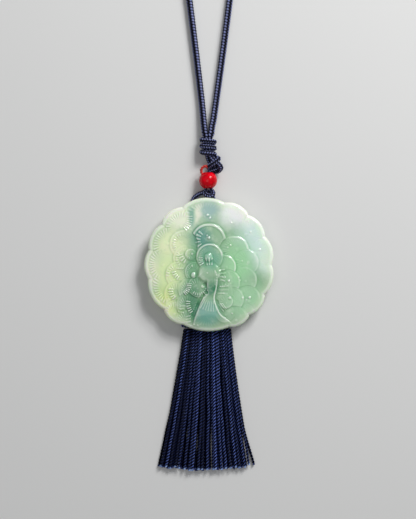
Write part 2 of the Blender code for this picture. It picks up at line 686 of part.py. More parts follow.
def hanging_loop():
    """The braided cord: up from the wraps, round its end and back, narrowed inside the wraps."""
    inside = SQUEEZED * LOOP_CORD / 2 + CLEARANCE / 4
    points = [
        (BEAD_X - inside, WRAP_FOOT, WRAP_Z),
        (BEAD_X - inside, WRAP_HIGH - 0.0005, WRAP_Z),
        (BEAD_X - inside - 0.0003, WRAP_HIGH + 0.0020, WRAP_Z - 0.0001),
        (-0.0020, WRAP_HIGH + 0.0060, LOOP_Z + 0.0006),
        (-0.0027, WRAP_HIGH + 0.0130, LOOP_Z),
        (-0.0046, WRAP_HIGH + 0.0290, LOOP_Z),
        (-0.0067, WRAP_HIGH + 0.0460, LOOP_Z),
        (-0.0082, WRAP_HIGH + 0.0580, LOOP_Z),
        (-0.0088, WRAP_HIGH + 0.0680, LOOP_Z),
        (-0.0070, WRAP_HIGH + 0.0765, LOOP_Z),
        (-0.0002, WRAP_HIGH + 0.0805, LOOP_Z),
        (0.0068, WRAP_HIGH + 0.0765, LOOP_Z),
        (0.0088, WRAP_HIGH + 0.0680, LOOP_Z),
        (0.0083, WRAP_HIGH + 0.0580, LOOP_Z),
        (0.0069, WRAP_HIGH + 0.0460, LOOP_Z),
        (0.0047, WRAP_HIGH + 0.0290, LOOP_Z),
        (0.0025, WRAP_HIGH + 0.0130, LOOP_Z),
        (0.0015, WRAP_HIGH + 0.0060, LOOP_Z + 0.0006),
        (BEAD_X + inside + 0.0003, WRAP_HIGH + 0.0020, WRAP_Z - 0.0001),
        (BEAD_X + inside, WRAP_HIGH - 0.0005, WRAP_Z),
        (BEAD_X + inside, WRAP_FOOT, WRAP_Z),
    ]
    line = route(points, LOOP_CORD * 1.7)
    above = (line[:, 1] - WRAP_HIGH) / LOOP_SWELL
    return tube("hanging_loop", line, LOOP_CORD, shares=SQUEEZED + (1 - SQUEEZED) * smooth(above))


def tassel_section(share):
    """The tassel's section at that share of its length: its fluted top and its flat underside."""
    spread = TASSEL_FLARE * share + (1 - TASSEL_FLARE) * share**2
    half = (TASSEL_TOP_WIDTH + (TASSEL_FOOT_WIDTH - TASSEL_TOP_WIDTH) * spread) / 2
    thick = TASSEL_TOP_THICK + (TASSEL_FOOT_THICK - TASSEL_TOP_THICK) * smooth(share / 0.3)
    pitch = 2 * half / STRANDS_ACROSS
    above = []
    for i in range(2 * STRANDS_ACROSS + 1):
        x = -half + pitch * i / 2
        crown = math.sqrt(max(0, 1 - (x / half) ** 4))
        groove = 0 if i % 2 else FLUTE * pitch
        above.append((x, thick * (0.5 + 0.5 * crown) - groove))
    return above, [(x, 0.0) for x, _ in above[::4]]


def tassel_skirt():
    """The strands side by side, fanning out from the fold to the cut ends."""
    high = TIE_Y - TIE_CORD / 2 - CLEARANCE
    length = high - TASSEL_FOOT
    points, faces = [], []
    for share in TASSEL_ROWS:
        above, below = tassel_section(share)
        for x, z in above + below[::-1]:
            sag = TASSEL_SAG * share * (1 - (2 * x / TASSEL_FOOT_WIDTH) ** 2)
            points.append((x + TASSEL_X + TASSEL_DRIFT * share, high - length * share - sag, z))
    count = len(above) + len(below)
    for row in range(len(TASSEL_ROWS) - 1):
        for k in range(count):
            here, after = row * count + k, row * count + (k + 1) % count
            faces.append((here, here + count, after + count, after))
    last = (len(TASSEL_ROWS) - 1) * count
    for k in range(len(below) - 1):
        end = [4 * k + i for i in range(5)] + [count - 2 - k, count - 1 - k]
        faces.append(tuple(end))
        faces.append(tuple(last + i for i in reversed(end)))
    return made("tassel_skirt", mesh_of("tassel_skirt", points, faces), NAVY, CLOTH_ROUGHNESS)


def main():
    for thing in list(bpy.data.objects):
        bpy.data.objects.remove(thing)
    jade_pendant()
    pendant_loop()
    tube("tassel_tie", tie_line(), TIE_CORD, closed=True)
    red_bead()
    red_thread()
    overhand_knot()
    wrapped_knot()
    hanging_loop()
    tassel_skirt()


main()
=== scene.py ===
"""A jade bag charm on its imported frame: carved pendant, braided cords, red bead and navy tassel."""

import math

import bpy
import numpy as np
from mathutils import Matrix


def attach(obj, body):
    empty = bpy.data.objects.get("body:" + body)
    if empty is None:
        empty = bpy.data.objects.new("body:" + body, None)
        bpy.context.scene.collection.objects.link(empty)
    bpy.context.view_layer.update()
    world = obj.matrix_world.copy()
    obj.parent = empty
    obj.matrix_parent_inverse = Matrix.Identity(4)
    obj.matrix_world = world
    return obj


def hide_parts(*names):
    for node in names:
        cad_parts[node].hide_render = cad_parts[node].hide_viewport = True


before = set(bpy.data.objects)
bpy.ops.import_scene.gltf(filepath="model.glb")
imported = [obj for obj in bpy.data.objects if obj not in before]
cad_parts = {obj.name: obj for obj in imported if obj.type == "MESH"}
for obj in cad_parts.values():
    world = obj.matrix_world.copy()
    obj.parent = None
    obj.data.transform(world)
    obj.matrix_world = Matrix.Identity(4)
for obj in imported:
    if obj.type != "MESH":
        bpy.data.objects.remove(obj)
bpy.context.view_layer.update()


# The camera
# It looks straight down on the charm from so far that the picture is almost without perspective.
VIEW_HIGH = 0.1739
VIEW_X, VIEW_Y = -0.00044, 0.0020
CAMERA_AWAY = 0.8
FOCUS_HEIGHT = 0.005
SENSOR = 24


def in_scene(name, data):
    """An object of that mesh, camera or light, put in the scene."""
    thing = bpy.data.objects.new(name, data)
    bpy.context.scene.collection.objects.link(thing)
    return thing


camera_data = bpy.data.cameras.new("camera")
camera_data.sensor_fit = "VERTICAL"
camera_data.sensor_height = SENSOR
camera_data.lens = SENSOR * CAMERA_AWAY / VIEW_HIGH
camera = in_scene("camera", camera_data)
camera.location = (VIEW_X, VIEW_Y, FOCUS_HEIGHT + CAMERA_AWAY)
bpy.context.scene.camera = camera


# The hanging loop
# One round braid of eight flat navy polyester strands, doubled into a loop that hitches to a bag.
# Its two ends are pinched side by side inside the wrapped knot, and its far bend lies beyond the picture.
LOOP_WIDTH, LOOP_LENGTH, LOOP_LAY = 0.0024, 0.184, 0.0039
LOOP_PINCHED = 0.60  # its width inside the wraps, as a share of its own
PINCHED_GAP = 0.00015  # between the two pinched ends
SWELL_IN, LOOP_SWELL = 0.0012, 0.0018  # where it starts to widen, inside the wraps, and over what length
EACH_WAY = 4  # strands that run each way round the braid
STRAND_WIDE, STRAND_THICK = 0.33, 0.18  # shares of the braid's width
STRAND_OUT, STRAND_OVER = 0.60, 0.22  # its distance from the core and its rise, as shares of half the width
STRAND_SIDES = 8
FILAMENTS, FILAMENT_TWIST = 5, 2500.0  # across a strand, and along it
LINE_STEPS = 12  # points from one given point of a smooth line to the next
BEAD_X, BEAD_Y, BEAD_Z = -0.0004, 0.02859, 0.0031
BEAD_RADIUS = 0.00305
KNOT_HIGH, WRAPS_HIGH = 0.0055, 0.0063
WRAP_FOOT = BEAD_Y + BEAD_RADIUS + KNOT_HIGH
WRAP_HIGH = WRAP_FOOT + WRAPS_HIGH
WRAP_Z = 0.00257
LOOP_Z = 0.00125


class Wire:
    """A socket in an expression: each operator adds the Math node that works it out."""

    def __init__(self, nodes, socket):
        self.nodes, self.socket = nodes, socket

    def other(self, name):
        """Another output of the same node."""
        return Wire(self.nodes, self.socket.node.outputs[name])

    def math(self, operation, *rest):
        return self.nodes.add("ShaderNodeMath", {"operation": operation}, self, *rest)

    def vector(self, operation, *rest):
        return self.nodes.add("ShaderNodeVectorMath", {"operation": operation}, self, *rest)

    def scaled(self, amount):
        """This vector times a number."""
        return self.nodes.add("ShaderNodeVectorMath", {"operation": "SCALE"}, self, at={"Scale": amount})

    def __add__(self, other):
        return self.math("ADD", other)

    def __sub__(self, other):
        return self.math("SUBTRACT", other)

    def __rsub__(self, other):
        return self.nodes.add("ShaderNodeMath", {"operation": "SUBTRACT"}, other, self)

    def __mul__(self, other):
        return self.math("MULTIPLY", other)

    def __truediv__(self, other):
        return self.math("DIVIDE", other)

    __radd__ = __add__
    __rmul__ = __mul__


class Nodes:
    """Adds the nodes of one tree: a node's settings first, then the values or links of its sockets."""

    def __init__(self, tree):
        self.tree = tree

    def add(self, kind, settings=None, *values, at=None, out=0):
        node = self.tree.nodes.new(kind)
        for key, value in (settings or {}).items():
            setattr(node, key, value)
        for key, value in [*enumerate(values), *(at or {}).items()]:
            if isinstance(value, Wire):
                self.tree.links.new(value.socket, node.inputs[key])
            elif value is not None:
                node.inputs[key].default_value = value
        return Wire(self, node.outputs[out]) if node.outputs else None

    def mix(self, factor, first, second):
        """Two colours mixed: the first at 0 and the second at 1."""
        first, second = ((*c, 1) if isinstance(c, tuple) else c for c in (first, second))
        return self.add("ShaderNodeMix", {"data_type": "RGBA"}, factor, at={6: first, 7: second}, out=2)

    def between(self, value, low, high):
        """0 where the value is under low and 1 where it is over high, with a soft passage."""
        settings = {"interpolation_type": "SMOOTHSTEP"}
        return self.add("ShaderNodeMapRange", settings, value, low, high, 0.0, 1.0)

    def noise(self, place, scale, detail=2.0, roughness=0.5):
        sockets = {"Vector": place, "Scale": scale, "Detail": detail, "Roughness": roughness}
        return self.add("ShaderNodeTexNoise", None, at=sockets)

    def stored(self, name, kind="FLOAT"):
        """A value kept on the points of the mesh, read in Geometry Nodes."""
        return self.add("GeometryNodeInputNamedAttribute", {"data_type": kind}, name)

    def store(self, geometry, name, value, kind="FLOAT"):
        """The geometry with a value kept on its points."""
        settings = {"data_type": kind, "domain": "POINT"}
        return self.add("GeometryNodeStoreNamedAttribute", settings, geometry, None, name, value)

    def attribute(self, name):
        """A value kept on the points of the mesh, read in a material."""
        return self.add("ShaderNodeAttribute", {"attribute_name": name}, out="Fac")

    def surface(self, look):
        """The last part of a material: the shader with that look."""
        shader = self.add("ShaderNodeBsdfPrincipled", None, at=look)
        self.add("ShaderNodeOutputMaterial", None, shader)


def new_tree(name, sizes):
    """A cord's Geometry Nodes tree with named inputs, its nodes, and its inputs' wires by name."""
    inputs = {"Line": "Geometry", **sizes, "Finish": "Material"}
    tree = bpy.data.node_groups.new(name, "GeometryNodeTree")
    for title, kind in inputs.items():
        tree.interface.new_socket(title, in_out="INPUT", socket_type="NodeSocket" + kind)
    tree.interface.new_socket("Strands", in_out="OUTPUT", socket_type="NodeSocketGeometry")
    nodes = Nodes(tree)
    group = tree.nodes.new("NodeGroupInput")
    return tree, nodes, {title: Wire(nodes, group.outputs[title]) for title in inputs}


def copied_line(nodes, given, amount):
    """The line in even steps, once for each strand, with the strands' numbers and the turns made so far."""
    line = nodes.add("GeometryNodeMeshToCurve", None, given["Line"])
    line = nodes.add("GeometryNodeResampleCurve", {"mode": "LENGTH"}, line, at={"Length": given["Step"]})
    copies = nodes.add("GeometryNodeDuplicateElements", {"domain": "SPLINE"}, line, at={"Amount": amount})
    core = nodes.store(copies, "core", nodes.add("GeometryNodeInputPosition"), "FLOAT_VECTOR")
    turns = nodes.add("GeometryNodeSplineParameter", out="Length") / given["Lay"]
    return core, copies.other("Duplicate Index"), turns


def out_of_line(nodes, turn):
    """The direction straight out of the line, turned round it by an angle."""
    normal = nodes.add("GeometryNodeInputNormal")
    side = nodes.add("GeometryNodeInputTangent").vector("CROSS_PRODUCT", normal)
    return side.scaled(turn.math("SINE")).vector("ADD", normal.scaled(turn.math("COSINE")))


def strand_mesh(nodes, given, strands, width, thickness, sides):
    """The last part of a cord's tree: an oval section swept along each strand."""
    place = nodes.add("GeometryNodeInputPosition")
    section = nodes.add("GeometryNodeCurvePrimitiveCircle", {"mode": "RADIUS"}, sides, at={"Radius": 1.0})
    section = nodes.store(section, "across", nodes.add("ShaderNodeSeparateXYZ", None, place, out="Y"))
    size = nodes.add("ShaderNodeCombineXYZ", None, thickness * 0.5, width * 0.5, 1.0)
    section = nodes.add("GeometryNodeTransform", None, section, at={"Scale": size})
    gone = nodes.add("GeometryNodeSplineParameter", out="Length")
    strands = nodes.store(strands, "along", gone)
    strands = nodes.store(strands, "to_cut", nodes.add("GeometryNodeSplineLength") - gone)
    share = nodes.stored("share")
    sweep = {"Scale": share, "Fill Caps": True}
    swept = nodes.add("GeometryNodeCurveToMesh", None, strands, section, at=sweep)
    # How far out from the core each point lies, kept as out for the painted highlight on the strands' backs
    # and the painted shade between them.
    away = place.vector("DISTANCE", nodes.stored("core", "FLOAT_VECTOR")).other("Value")
    swept = nodes.store(swept, "out", away / (given["Width"] * share * 0.5))
    swept = nodes.add("GeometryNodeSetShadeSmooth", {"domain": "FACE"}, swept)
    swept = nodes.add("GeometryNodeRealizeInstances", None, swept)
    swept = nodes.add("GeometryNodeSetMaterial", None, swept, at={"Material": given["Finish"]})
    nodes.add("NodeGroupOutput", None, swept)


def braid_tree():
    """A tree that lays a round braid along a line: each strand goes over two others and under two."""
    sizes = {"Width": "Float", "Lay": "Float", "Each way": "Int", "Flat": "Float", "Step": "Float"}
    tree, nodes, given = new_tree("braid", sizes)
    copies, index, turns = copied_line(nodes, given, given["Each way"] * 2.0)
    way = 1.0 - index.math("MODULO", 2.0) * 2.0
    number = (index / 2.0).math("FLOOR")
    turn = way * turns * (2 * math.pi) + number * (2 * math.pi) / given["Each way"]
    over = way * (given["Each way"] * turns * math.pi + way * (number * math.pi - math.pi / 4)).math("COSINE")
    away = given["Width"] * nodes.stored("share") * 0.5 * (STRAND_OUT + over * STRAND_OVER)
    outwards = out_of_line(nodes, turn)
    copies = nodes.store(copies, "outwards", outwards, "FLOAT_VECTOR")
    strands = nodes.add("GeometryNodeSetPosition", None, copies, at={"Offset": outwards.scaled(away)})
    facing = nodes.stored("outwards", "FLOAT_VECTOR")
    strands = nodes.add("GeometryNodeSetCurveNormal", {"mode": "FREE"}, strands, at={"Normal": facing})
    wide, thick = given["Flat"] * given["Width"], given["Width"] * STRAND_THICK
    strand_mesh(nodes, given, strands, wide, thick, STRAND_SIDES)
    return tree


def made_plain(piece, modifier):
    """Puts the modifier's result in the piece's own mesh and takes the modifier off."""
    seen = piece.evaluated_get(bpy.context.evaluated_depsgraph_get())
    mesh = bpy.data.meshes.new_from_object(seen)
    piece.modifiers.remove(modifier)
    piece.data = mesh


def laid(name, lines, tree, sizes, finish, shares=None, closed=False, **kept):
    """A cord's piece: the tree lays its strands along the lines, and the result is made a plain mesh."""
    points, edges = [], []
    for line in lines:
        first = len(points)
        points += [tuple(p) for p in line]
        edges += [(i, i + 1) for i in range(first, len(points) - 1)]
        if closed:
            edges.append((len(points) - 1, first))
    mesh = bpy.data.meshes.new(name)
    mesh.from_pydata(points, edges, [])
    plain = np.ones(len(points))
    for title, values in {"share": plain if shares is None else shares, "tone": plain, **kept}.items():
        mesh.attributes.new(title, "FLOAT", "POINT").data.foreach_set("value", np.array(values, np.float32))
    piece = in_scene(name, mesh)
    modifier = piece.modifiers.new("strands", "NODES")
    modifier.node_group = tree
    given = {**sizes, "Finish": finish}
    for socket in tree.interface.items_tree:
        if socket.name in given:
            modifier[socket.identifier] = given[socket.name]
    made_plain(piece, modifier)
    return piece


def smooth_line(points, steps=LINE_STEPS):
    """Points along a smooth Catmull-Rom line through the given ones."""
    p = np.array(points, float)
    p = np.concatenate([[2 * p[0] - p[1]], p, [2 * p[-1] - p[-2]]])
    found = []
    for a, b, c, d in zip(p[:-3], p[1:-2], p[2:-1], p[3:]):
        for t in np.arange(steps) / steps:
            found.append(b + 0.5 * t * (c - a + t * (2 * a - 5 * b + 4 * c - d + t * (3 * (b - c) + d - a))))
    found.append(p[-2])
    return np.array(found)


def smooth(t):
    """0 for a value up to 0 and 1 from 1 on, with a soft passage between."""
    t = np.clip(t, 0, 1)
    return t * t * (3 - 2 * t)


def new_material(name):
    """An empty material, and the nodes to fill it with."""
    material = bpy.data.materials.new(name)
    material.use_nodes = True
    material.node_tree.nodes.clear()
    return material, Nodes(material.node_tree)


def thread_finish(name, groove_shade, light, sheen, low, gloss=0.30):
    """Dyed polyester thread: painted shade between the strands and a painted highlight on their backs, with
    fine filaments.
    """
    material, nodes = new_material(name)
    place = nodes.add("ShaderNodeTexCoord", out="Object")
    wave = nodes.attribute("across") * (FILAMENTS * math.pi) + nodes.attribute("along") * FILAMENT_TWIST
    filament = wave.math("SINE")
    cloud = nodes.noise(place, scale=700.0, detail=3.0)
    speck = nodes.noise(place, scale=6000.0)
    # Painted light: the colour runs from the painted shade between the strands to the painted highlight on
    # their backs, where out is high; tone makes some strands lighter than others.
    back = nodes.between(nodes.attribute("out"), low, 1.02) * nodes.attribute("tone")
    back = back * (0.62 + filament * 0.12 + speck * 0.50) * (0.40 + cloud * 1.2)
    colour = nodes.mix(back, groove_shade, light)
    cut = 1.0 - nodes.between(nodes.attribute("to_cut"), 0.0001, 0.0008)
    colour = nodes.mix(cut * 0.75, colour, tuple(min(1.0, 2.2 * c + 0.03) for c in light))
    bump = nodes.add("ShaderNodeBump", None, 0.35, 0.00008, at={"Height": filament * 0.5 + speck})
    look = {"Base Color": colour, "Roughness": 0.42 + speck * 0.22, "Normal": bump}
    look.update({"Specular IOR Level": gloss, "Sheen Weight": gloss * 0.27})
    look.update({"Sheen Roughness": 0.35, "Sheen Tint": (*sheen, 1)})
    nodes.surface(look)
    return material


loop_half = (LOOP_PINCHED * LOOP_WIDTH + PINCHED_GAP) / 2
loop_route = smooth_line([
    (BEAD_X - loop_half, WRAP_FOOT, WRAP_Z),
    (BEAD_X - loop_half, WRAP_HIGH - 0.0005, WRAP_Z),
    (BEAD_X - loop_half - 0.0003, WRAP_HIGH + 0.0012, WRAP_Z),
    (BEAD_X - loop_half - 0.0005, WRAP_HIGH + 0.0030, WRAP_Z - 0.0003),
    (-0.0020, WRAP_HIGH + 0.0060, LOOP_Z + 0.0006),
    (-0.0027, WRAP_HIGH + 0.0130, LOOP_Z),
    (-0.0046, WRAP_HIGH + 0.0290, LOOP_Z),
    (-0.0067, WRAP_HIGH + 0.0460, LOOP_Z),
    (-0.0082, WRAP_HIGH + 0.0580, LOOP_Z),
    (-0.0088, WRAP_HIGH + 0.0680, LOOP_Z),
    (-0.0070, WRAP_HIGH + 0.0765, LOOP_Z),
    (-0.0002, WRAP_HIGH + 0.0805, LOOP_Z),
    (0.0068, WRAP_HIGH + 0.0765, LOOP_Z),
    (0.0088, WRAP_HIGH + 0.0680, LOOP_Z),
    (0.0083, WRAP_HIGH + 0.0580, LOOP_Z),
    (0.0069, WRAP_HIGH + 0.0460, LOOP_Z),
    (0.0047, WRAP_HIGH + 0.0290, LOOP_Z),
    (0.0025, WRAP_HIGH + 0.0130, LOOP_Z),
    (0.0015, WRAP_HIGH + 0.0060, LOOP_Z + 0.0006),
    (BEAD_X + loop_half + 0.0005, WRAP_HIGH + 0.0030, WRAP_Z - 0.0003),
    (BEAD_X + loop_half + 0.0003, WRAP_HIGH + 0.0012, WRAP_Z),
    (BEAD_X + loop_half, WRAP_HIGH - 0.0005, WRAP_Z),
    (BEAD_X + loop_half, WRAP_FOOT, WRAP_Z),
])
loop_swell = smooth((loop_route[:, 1] - WRAP_HIGH + SWELL_IN) / LOOP_SWELL)
loop_shares = LOOP_PINCHED + (1 - LOOP_PINCHED) * loop_swell
braid = braid_tree()
# Navy: the painted shade between the strands, the painted highlight on their backs, and the sheen's tint.
navy_groove_shade, navy_highlight, navy_sheen = (0.001, 0.001, 0.006), (0.32, 0.36, 0.70), (0.62, 0.66, 1.0)
navy_braid = thread_finish("navy_braid", navy_groove_shade, navy_highlight, navy_sheen, 0.87, 0.16)
braid_sizes = {"Each way": EACH_WAY, "Flat": STRAND_WIDE}
loop_sizes = {**braid_sizes, "Width": LOOP_WIDTH, "Lay": LOOP_LAY, "Step": 0.00028}
loop_braid = laid("loop_braid", [loop_route], braid, loop_sizes, navy_braid, loop_shares)
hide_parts("hanging_loop")
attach(loop_braid, "root")


# The wrapped knot
# Three turns of a thinner navy braid, wound tight round the loop's two ends and tucked in under itself.
WRAP_WIDTH, WRAP_LAY = 0.00175, 0.0028
WRAP_ACROSS, WRAP_UP = 0.00215, 0.00160  # from the middle of the wraps out to the cord's
WRAP_TURNS, WRAP_PITCH = 2.85, 0.00203
WRAP_START = 0.0006  # from the loop's foot down to the first turn
WRAP_LEVEL = 0.5  # 0 for an even coil, and more for turns that run level in front
WRAP_POINTS = 120

wrap_turn = np.linspace(0, 2 * math.pi * WRAP_TURNS, WRAP_POINTS)
wrap_route = np.stack([
    BEAD_X - WRAP_ACROSS * np.sin(wrap_turn),
    WRAP_HIGH - WRAP_START - WRAP_PITCH * (wrap_turn + WRAP_LEVEL * np.sin(wrap_turn)) / (2 * math.pi),
    WRAP_Z - WRAP_UP * np.cos(wrap_turn),
], -1)
wrap_sizes = {**braid_sizes, "Width": WRAP_WIDTH, "Lay": WRAP_LAY, "Step": 0.00022}
wrap_braid = laid("wrap_braid", [wrap_route], braid, wrap_sizes, navy_braid)
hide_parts("wrapped_knot")
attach(wrap_braid, "root")


# The overhand knot
# The same thin braid between the wraps and the bead, turned once round itself into a chunky knot.
KNOT_WIDTH = 0.0018
KNOT_PINCHED, KNOT_SWELL = 0.70, 0.0012
SECOND_THINNER = 0.9


def bead_shares(line):
    """A cord's thickness along its line: less where the bead's bore pinches it."""
    out = np.abs(line[:, 1] - BEAD_Y) - BEAD_RADIUS
    return KNOT_PINCHED + (1 - KNOT_PINCHED) * smooth(out / KNOT_SWELL)


knot_route = smooth_line([
    (0.0002, 0.0377, 0.0026),
    (0.0007, 0.0363, 0.0030),
    (0.0018, 0.0351, 0.0033),
    (0.0030, 0.0342, 0.0032),
    (0.0039, 0.0330, 0.0030),
    (0.0035, 0.0318, 0.0022),
    (0.0024, 0.0313, 0.0014),
    (0.0011, 0.0315, 0.0011),
    (0.0001, 0.0323, 0.0016),
    (-0.0001, 0.0332, 0.0030),
    (0.0008, 0.0339, 0.0045),
    (0.0019, 0.0346, 0.0050),
    (0.0029, 0.0354, 0.0047),
    (0.0029, 0.0361, 0.0034),
    (0.0022, 0.0358, 0.0019),
    (0.0024, 0.0343, 0.0012),
    (0.0027, 0.0327, 0.0016),
    (0.0015, 0.0320, 0.0023),
    (-0.0000, 0.0315, 0.0028),
    (-0.0004, 0.0305, 0.0031),
])
second_route = smooth_line([
    (-0.0008, 0.0377, 0.0023),
    (-0.0005, 0.0360, 0.0018),
    (0.0002, 0.0345, 0.0013),
    (0.0011, 0.0331, 0.0011),
    (0.0007, 0.0319, 0.0020),
    (-0.0003, 0.0313, 0.0029),
    (-0.0004, 0.0305, 0.0031),
])
knot_sizes = {**wrap_sizes, "Width": KNOT_WIDTH}
knot_shares = np.concatenate([bead_shares(knot_route), bead_shares(second_route) * SECOND_THINNER])
knot_braid = laid("knot_braid", [knot_route, second_route], braid, knot_sizes, navy_braid, knot_shares)
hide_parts("overhand_knot")
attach(knot_braid, "root")


# The pendant's own loop
# The thin braid comes out of the bead, goes behind the jade and through the tunnel in its back,
# and returns in front with a small ring at the right before both ends meet in the bead.
PENDANT_WIDTH = 0.00165
CORD_Z = 0.0009
bead_low, bead_leg = BEAD_Y - BEAD_RADIUS, 0.00067
tunnel_y = 0.01764

pendant_route = smooth_line([
    (BEAD_X - bead_leg, BEAD_Y - 0.0008, BEAD_Z),
    (BEAD_X - bead_leg, bead_low + 0.0006, BEAD_Z),
    (BEAD_X - bead_leg - 0.0006, bead_low - 0.0008, BEAD_Z - 0.0002),
    (BEAD_X - 0.0032, bead_low - 0.0016, BEAD_Z - 0.0010),
    (BEAD_X - 0.0048, bead_low - 0.0029, CORD_Z + 0.0005),
    (BEAD_X - 0.0053, bead_low - 0.0045, CORD_Z),
    (BEAD_X - 0.0047, tunnel_y + 0.0017, CORD_Z),
    (BEAD_X - 0.0031, tunnel_y + 0.0001, CORD_Z + 0.0002),
    (BEAD_X - 0.0017, tunnel_y - 0.0002, CORD_Z + 0.0012),
    (BEAD_X, tunnel_y - 0.0003, CORD_Z + 0.0018),
    (BEAD_X + 0.0017, tunnel_y - 0.0002, CORD_Z + 0.0012),
    (BEAD_X + 0.0031, tunnel_y + 0.0002, CORD_Z + 0.0002),
    (BEAD_X + 0.0034, tunnel_y + 0.0016, CORD_Z),
    (BEAD_X + 0.0022, tunnel_y + 0.0034, CORD_Z),
    (BEAD_X + 0.0015, bead_low - 0.0020, CORD_Z + 0.0002),
    (BEAD_X + 0.0004, bead_low - 0.0007, CORD_Z + 0.0006),
    (BEAD_X - 0.0011, bead_low - 0.0009, BEAD_Z - 0.0006),
    (BEAD_X - 0.0008, bead_low - 0.0018, BEAD_Z + 0.0003),
    (BEAD_X + 0.0006, bead_low - 0.0023, BEAD_Z + 0.0008),
    (BEAD_X + 0.0016, bead_low - 0.0018, BEAD_Z + 0.0008),
    (BEAD_X + 0.0016, bead_low - 0.0006, BEAD_Z + 0.0004),
    (BEAD_X + bead_leg, bead_low + 0.0006, BEAD_Z),
    (BEAD_X + bead_leg, BEAD_Y - 0.0008, BEAD_Z),
])
pendant_shares = bead_shares(pendant_route)
pendant_sizes = {**wrap_sizes, "Width": PENDANT_WIDTH}
pendant_braid = laid("pendant_braid", [pendant_route], braid, pendant_sizes, navy_braid, pendant_shares)
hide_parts("pendant_loop")
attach(pendant_braid, "root")


# The red bead
# A round bead of glossy red glass with a bore from top to foot, threaded on the two ends of the cord.
BEAD_BORE = 0.0026
BEAD_TURNS, BEAD_STEPS = 96, 40
MOUTH_TURN = 0.06  # where the ball's curve ends before the bore, in radians
MOUTH_LOW, MOUTH_WIDE, MOUTH_DEEP = 0.0001, 0.00004, 0.0002  # the rounding from there into the bore


def turned(name, section, turns, centre):
    """A closed ring turned round the Y axis from its half section of (radius, along)."""
    points, faces, count = [], [], len(section)
    for i in range(turns):
        turn = 2 * math.pi * i / turns
        for radius, along in section:
            point = (radius * math.cos(turn), along, radius * math.sin(turn))
            points.append(tuple(a + b for a, b in zip(point, centre)))
    for i in range(turns):
        here, there = i * count, (i + 1) % turns * count
        for k in range(count):
            after = (k + 1) % count
            faces.append((here + k, here + after, there + after, there + k))
    mesh = bpy.data.meshes.new(name)
    mesh.from_pydata(points, [], faces)
    mesh.shade_smooth()
    return in_scene(name, mesh)


def bead_section():
    """The bead's half section, with its bore's two mouths rounded."""
    bore = BEAD_BORE / 2
    mouth = math.asin(bore / BEAD_RADIUS)
    section = []
    for i in range(BEAD_STEPS + 1):
        turn = mouth + MOUTH_TURN + (math.pi - 2 * mouth - 2 * MOUTH_TURN) * i / BEAD_STEPS
        section.append((BEAD_RADIUS * math.sin(turn), -BEAD_RADIUS * math.cos(turn)))
    high = BEAD_RADIUS * math.cos(mouth) - MOUTH_LOW
    inside = [(bore + MOUTH_WIDE, high), (bore, high - MOUTH_DEEP), (bore, 0.2 * high)]
    return section + inside + [(radius, -along) for radius, along in reversed(inside)]


def bead_finish():
    """Red glass with faint swirls, a little light under its surface and a slightly uneven gloss."""
    material, nodes = new_material("red_glass")
    place = nodes.add("ShaderNodeTexCoord", out="Object")
    swirl = nodes.noise(place, scale=420.0, detail=3.0, roughness=0.6)
    fine = nodes.noise(place, scale=2600.0)
    colour = nodes.mix(nodes.between(swirl, 0.35, 0.70), (0.46, 0.0003, 0.005), (0.80, 0.0008, 0.012))
    rough = 0.10 + fine * 0.12
    bump = nodes.add("ShaderNodeBump", None, 0.30, 0.00006, at={"Height": fine})
    look = {"Base Color": colour, "Roughness": rough, "Normal": bump, "IOR": 1.42, "Specular IOR Level": 0.30}
    look.update({"Subsurface Weight": 0.35, "Subsurface Scale": 0.0012})
    look["Subsurface Radius"] = (1.0, 0.12, 0.10)
    nodes.surface(look)
    return material


bead = turned("bead", bead_section(), BEAD_TURNS, (BEAD_X, BEAD_Y, BEAD_Z))
bead.data.materials.append(bead_finish())
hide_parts("red_bead")
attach(bead, "root")


# The red thread
# A short loop of two-ply red thread that springs from the bead's bore and is caught under the knot.
THREAD_WIDTH, THREAD_LAY = 0.0010, 0.0016
PLIES, PLY_SIDES = 2, 6
PLY_WIDE, PLY_OUT = 0.54, 0.24  # a ply's width and its distance from the core, as shares of the thread's


def twist_tree():
    """A tree that lays plies round each line, like a twisted thread, from its own phase or else from 0."""
    sizes = {"Width": "Float", "Lay": "Float", "Plies": "Int", "Step": "Float"}
    tree, nodes, given = new_tree("twist", sizes)
    copies, index, turns = copied_line(nodes, given, given["Plies"])
    turn = (turns + index / given["Plies"] + nodes.stored("phase")) * (2 * math.pi)
    shift = out_of_line(nodes, turn).scaled(given["Width"] * nodes.stored("share") * PLY_OUT)
    plies = nodes.add("GeometryNodeSetPosition", None, copies, at={"Offset": shift})
    ply = given["Width"] * PLY_WIDE
    strand_mesh(nodes, given, plies, ply, ply, PLY_SIDES)
    return tree


twist = twist_tree()
# Red: the painted shade between the plies, and the painted highlight on their backs.
red_twist = thread_finish("red_twist", (0.22, 0.002, 0.003), (0.80, 0.060, 0.045), (1.0, 0.55, 0.50), 0.6)
thread_route = smooth_line([
    (-0.0023, 0.0306, 0.0036),
    (-0.0027, 0.0315, 0.0037),
    (-0.0026, 0.0324, 0.0039),
    (-0.0019, 0.0331, 0.0040),
    (-0.0010, 0.0333, 0.0036),
    (-0.0006, 0.0330, 0.0030),
])
thread_sizes = {"Width": THREAD_WIDTH, "Lay": THREAD_LAY, "Plies": PLIES, "Step": 0.00012}
thread_twist = laid("thread_twist", [thread_route], twist, thread_sizes, red_twist)
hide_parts("red_thread")
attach(thread_twist, "root")


# The jade pendant
# One slab of pale green jade with thirteen scallops, carved on the front with a peacock before its
# fan of round eyed feathers and polished all over, with two small tunnels drilled into its back.
JADE_WIDTH, JADE_HEIGHT = 0.0431, 0.0452
HALF = JADE_WIDTH / 2
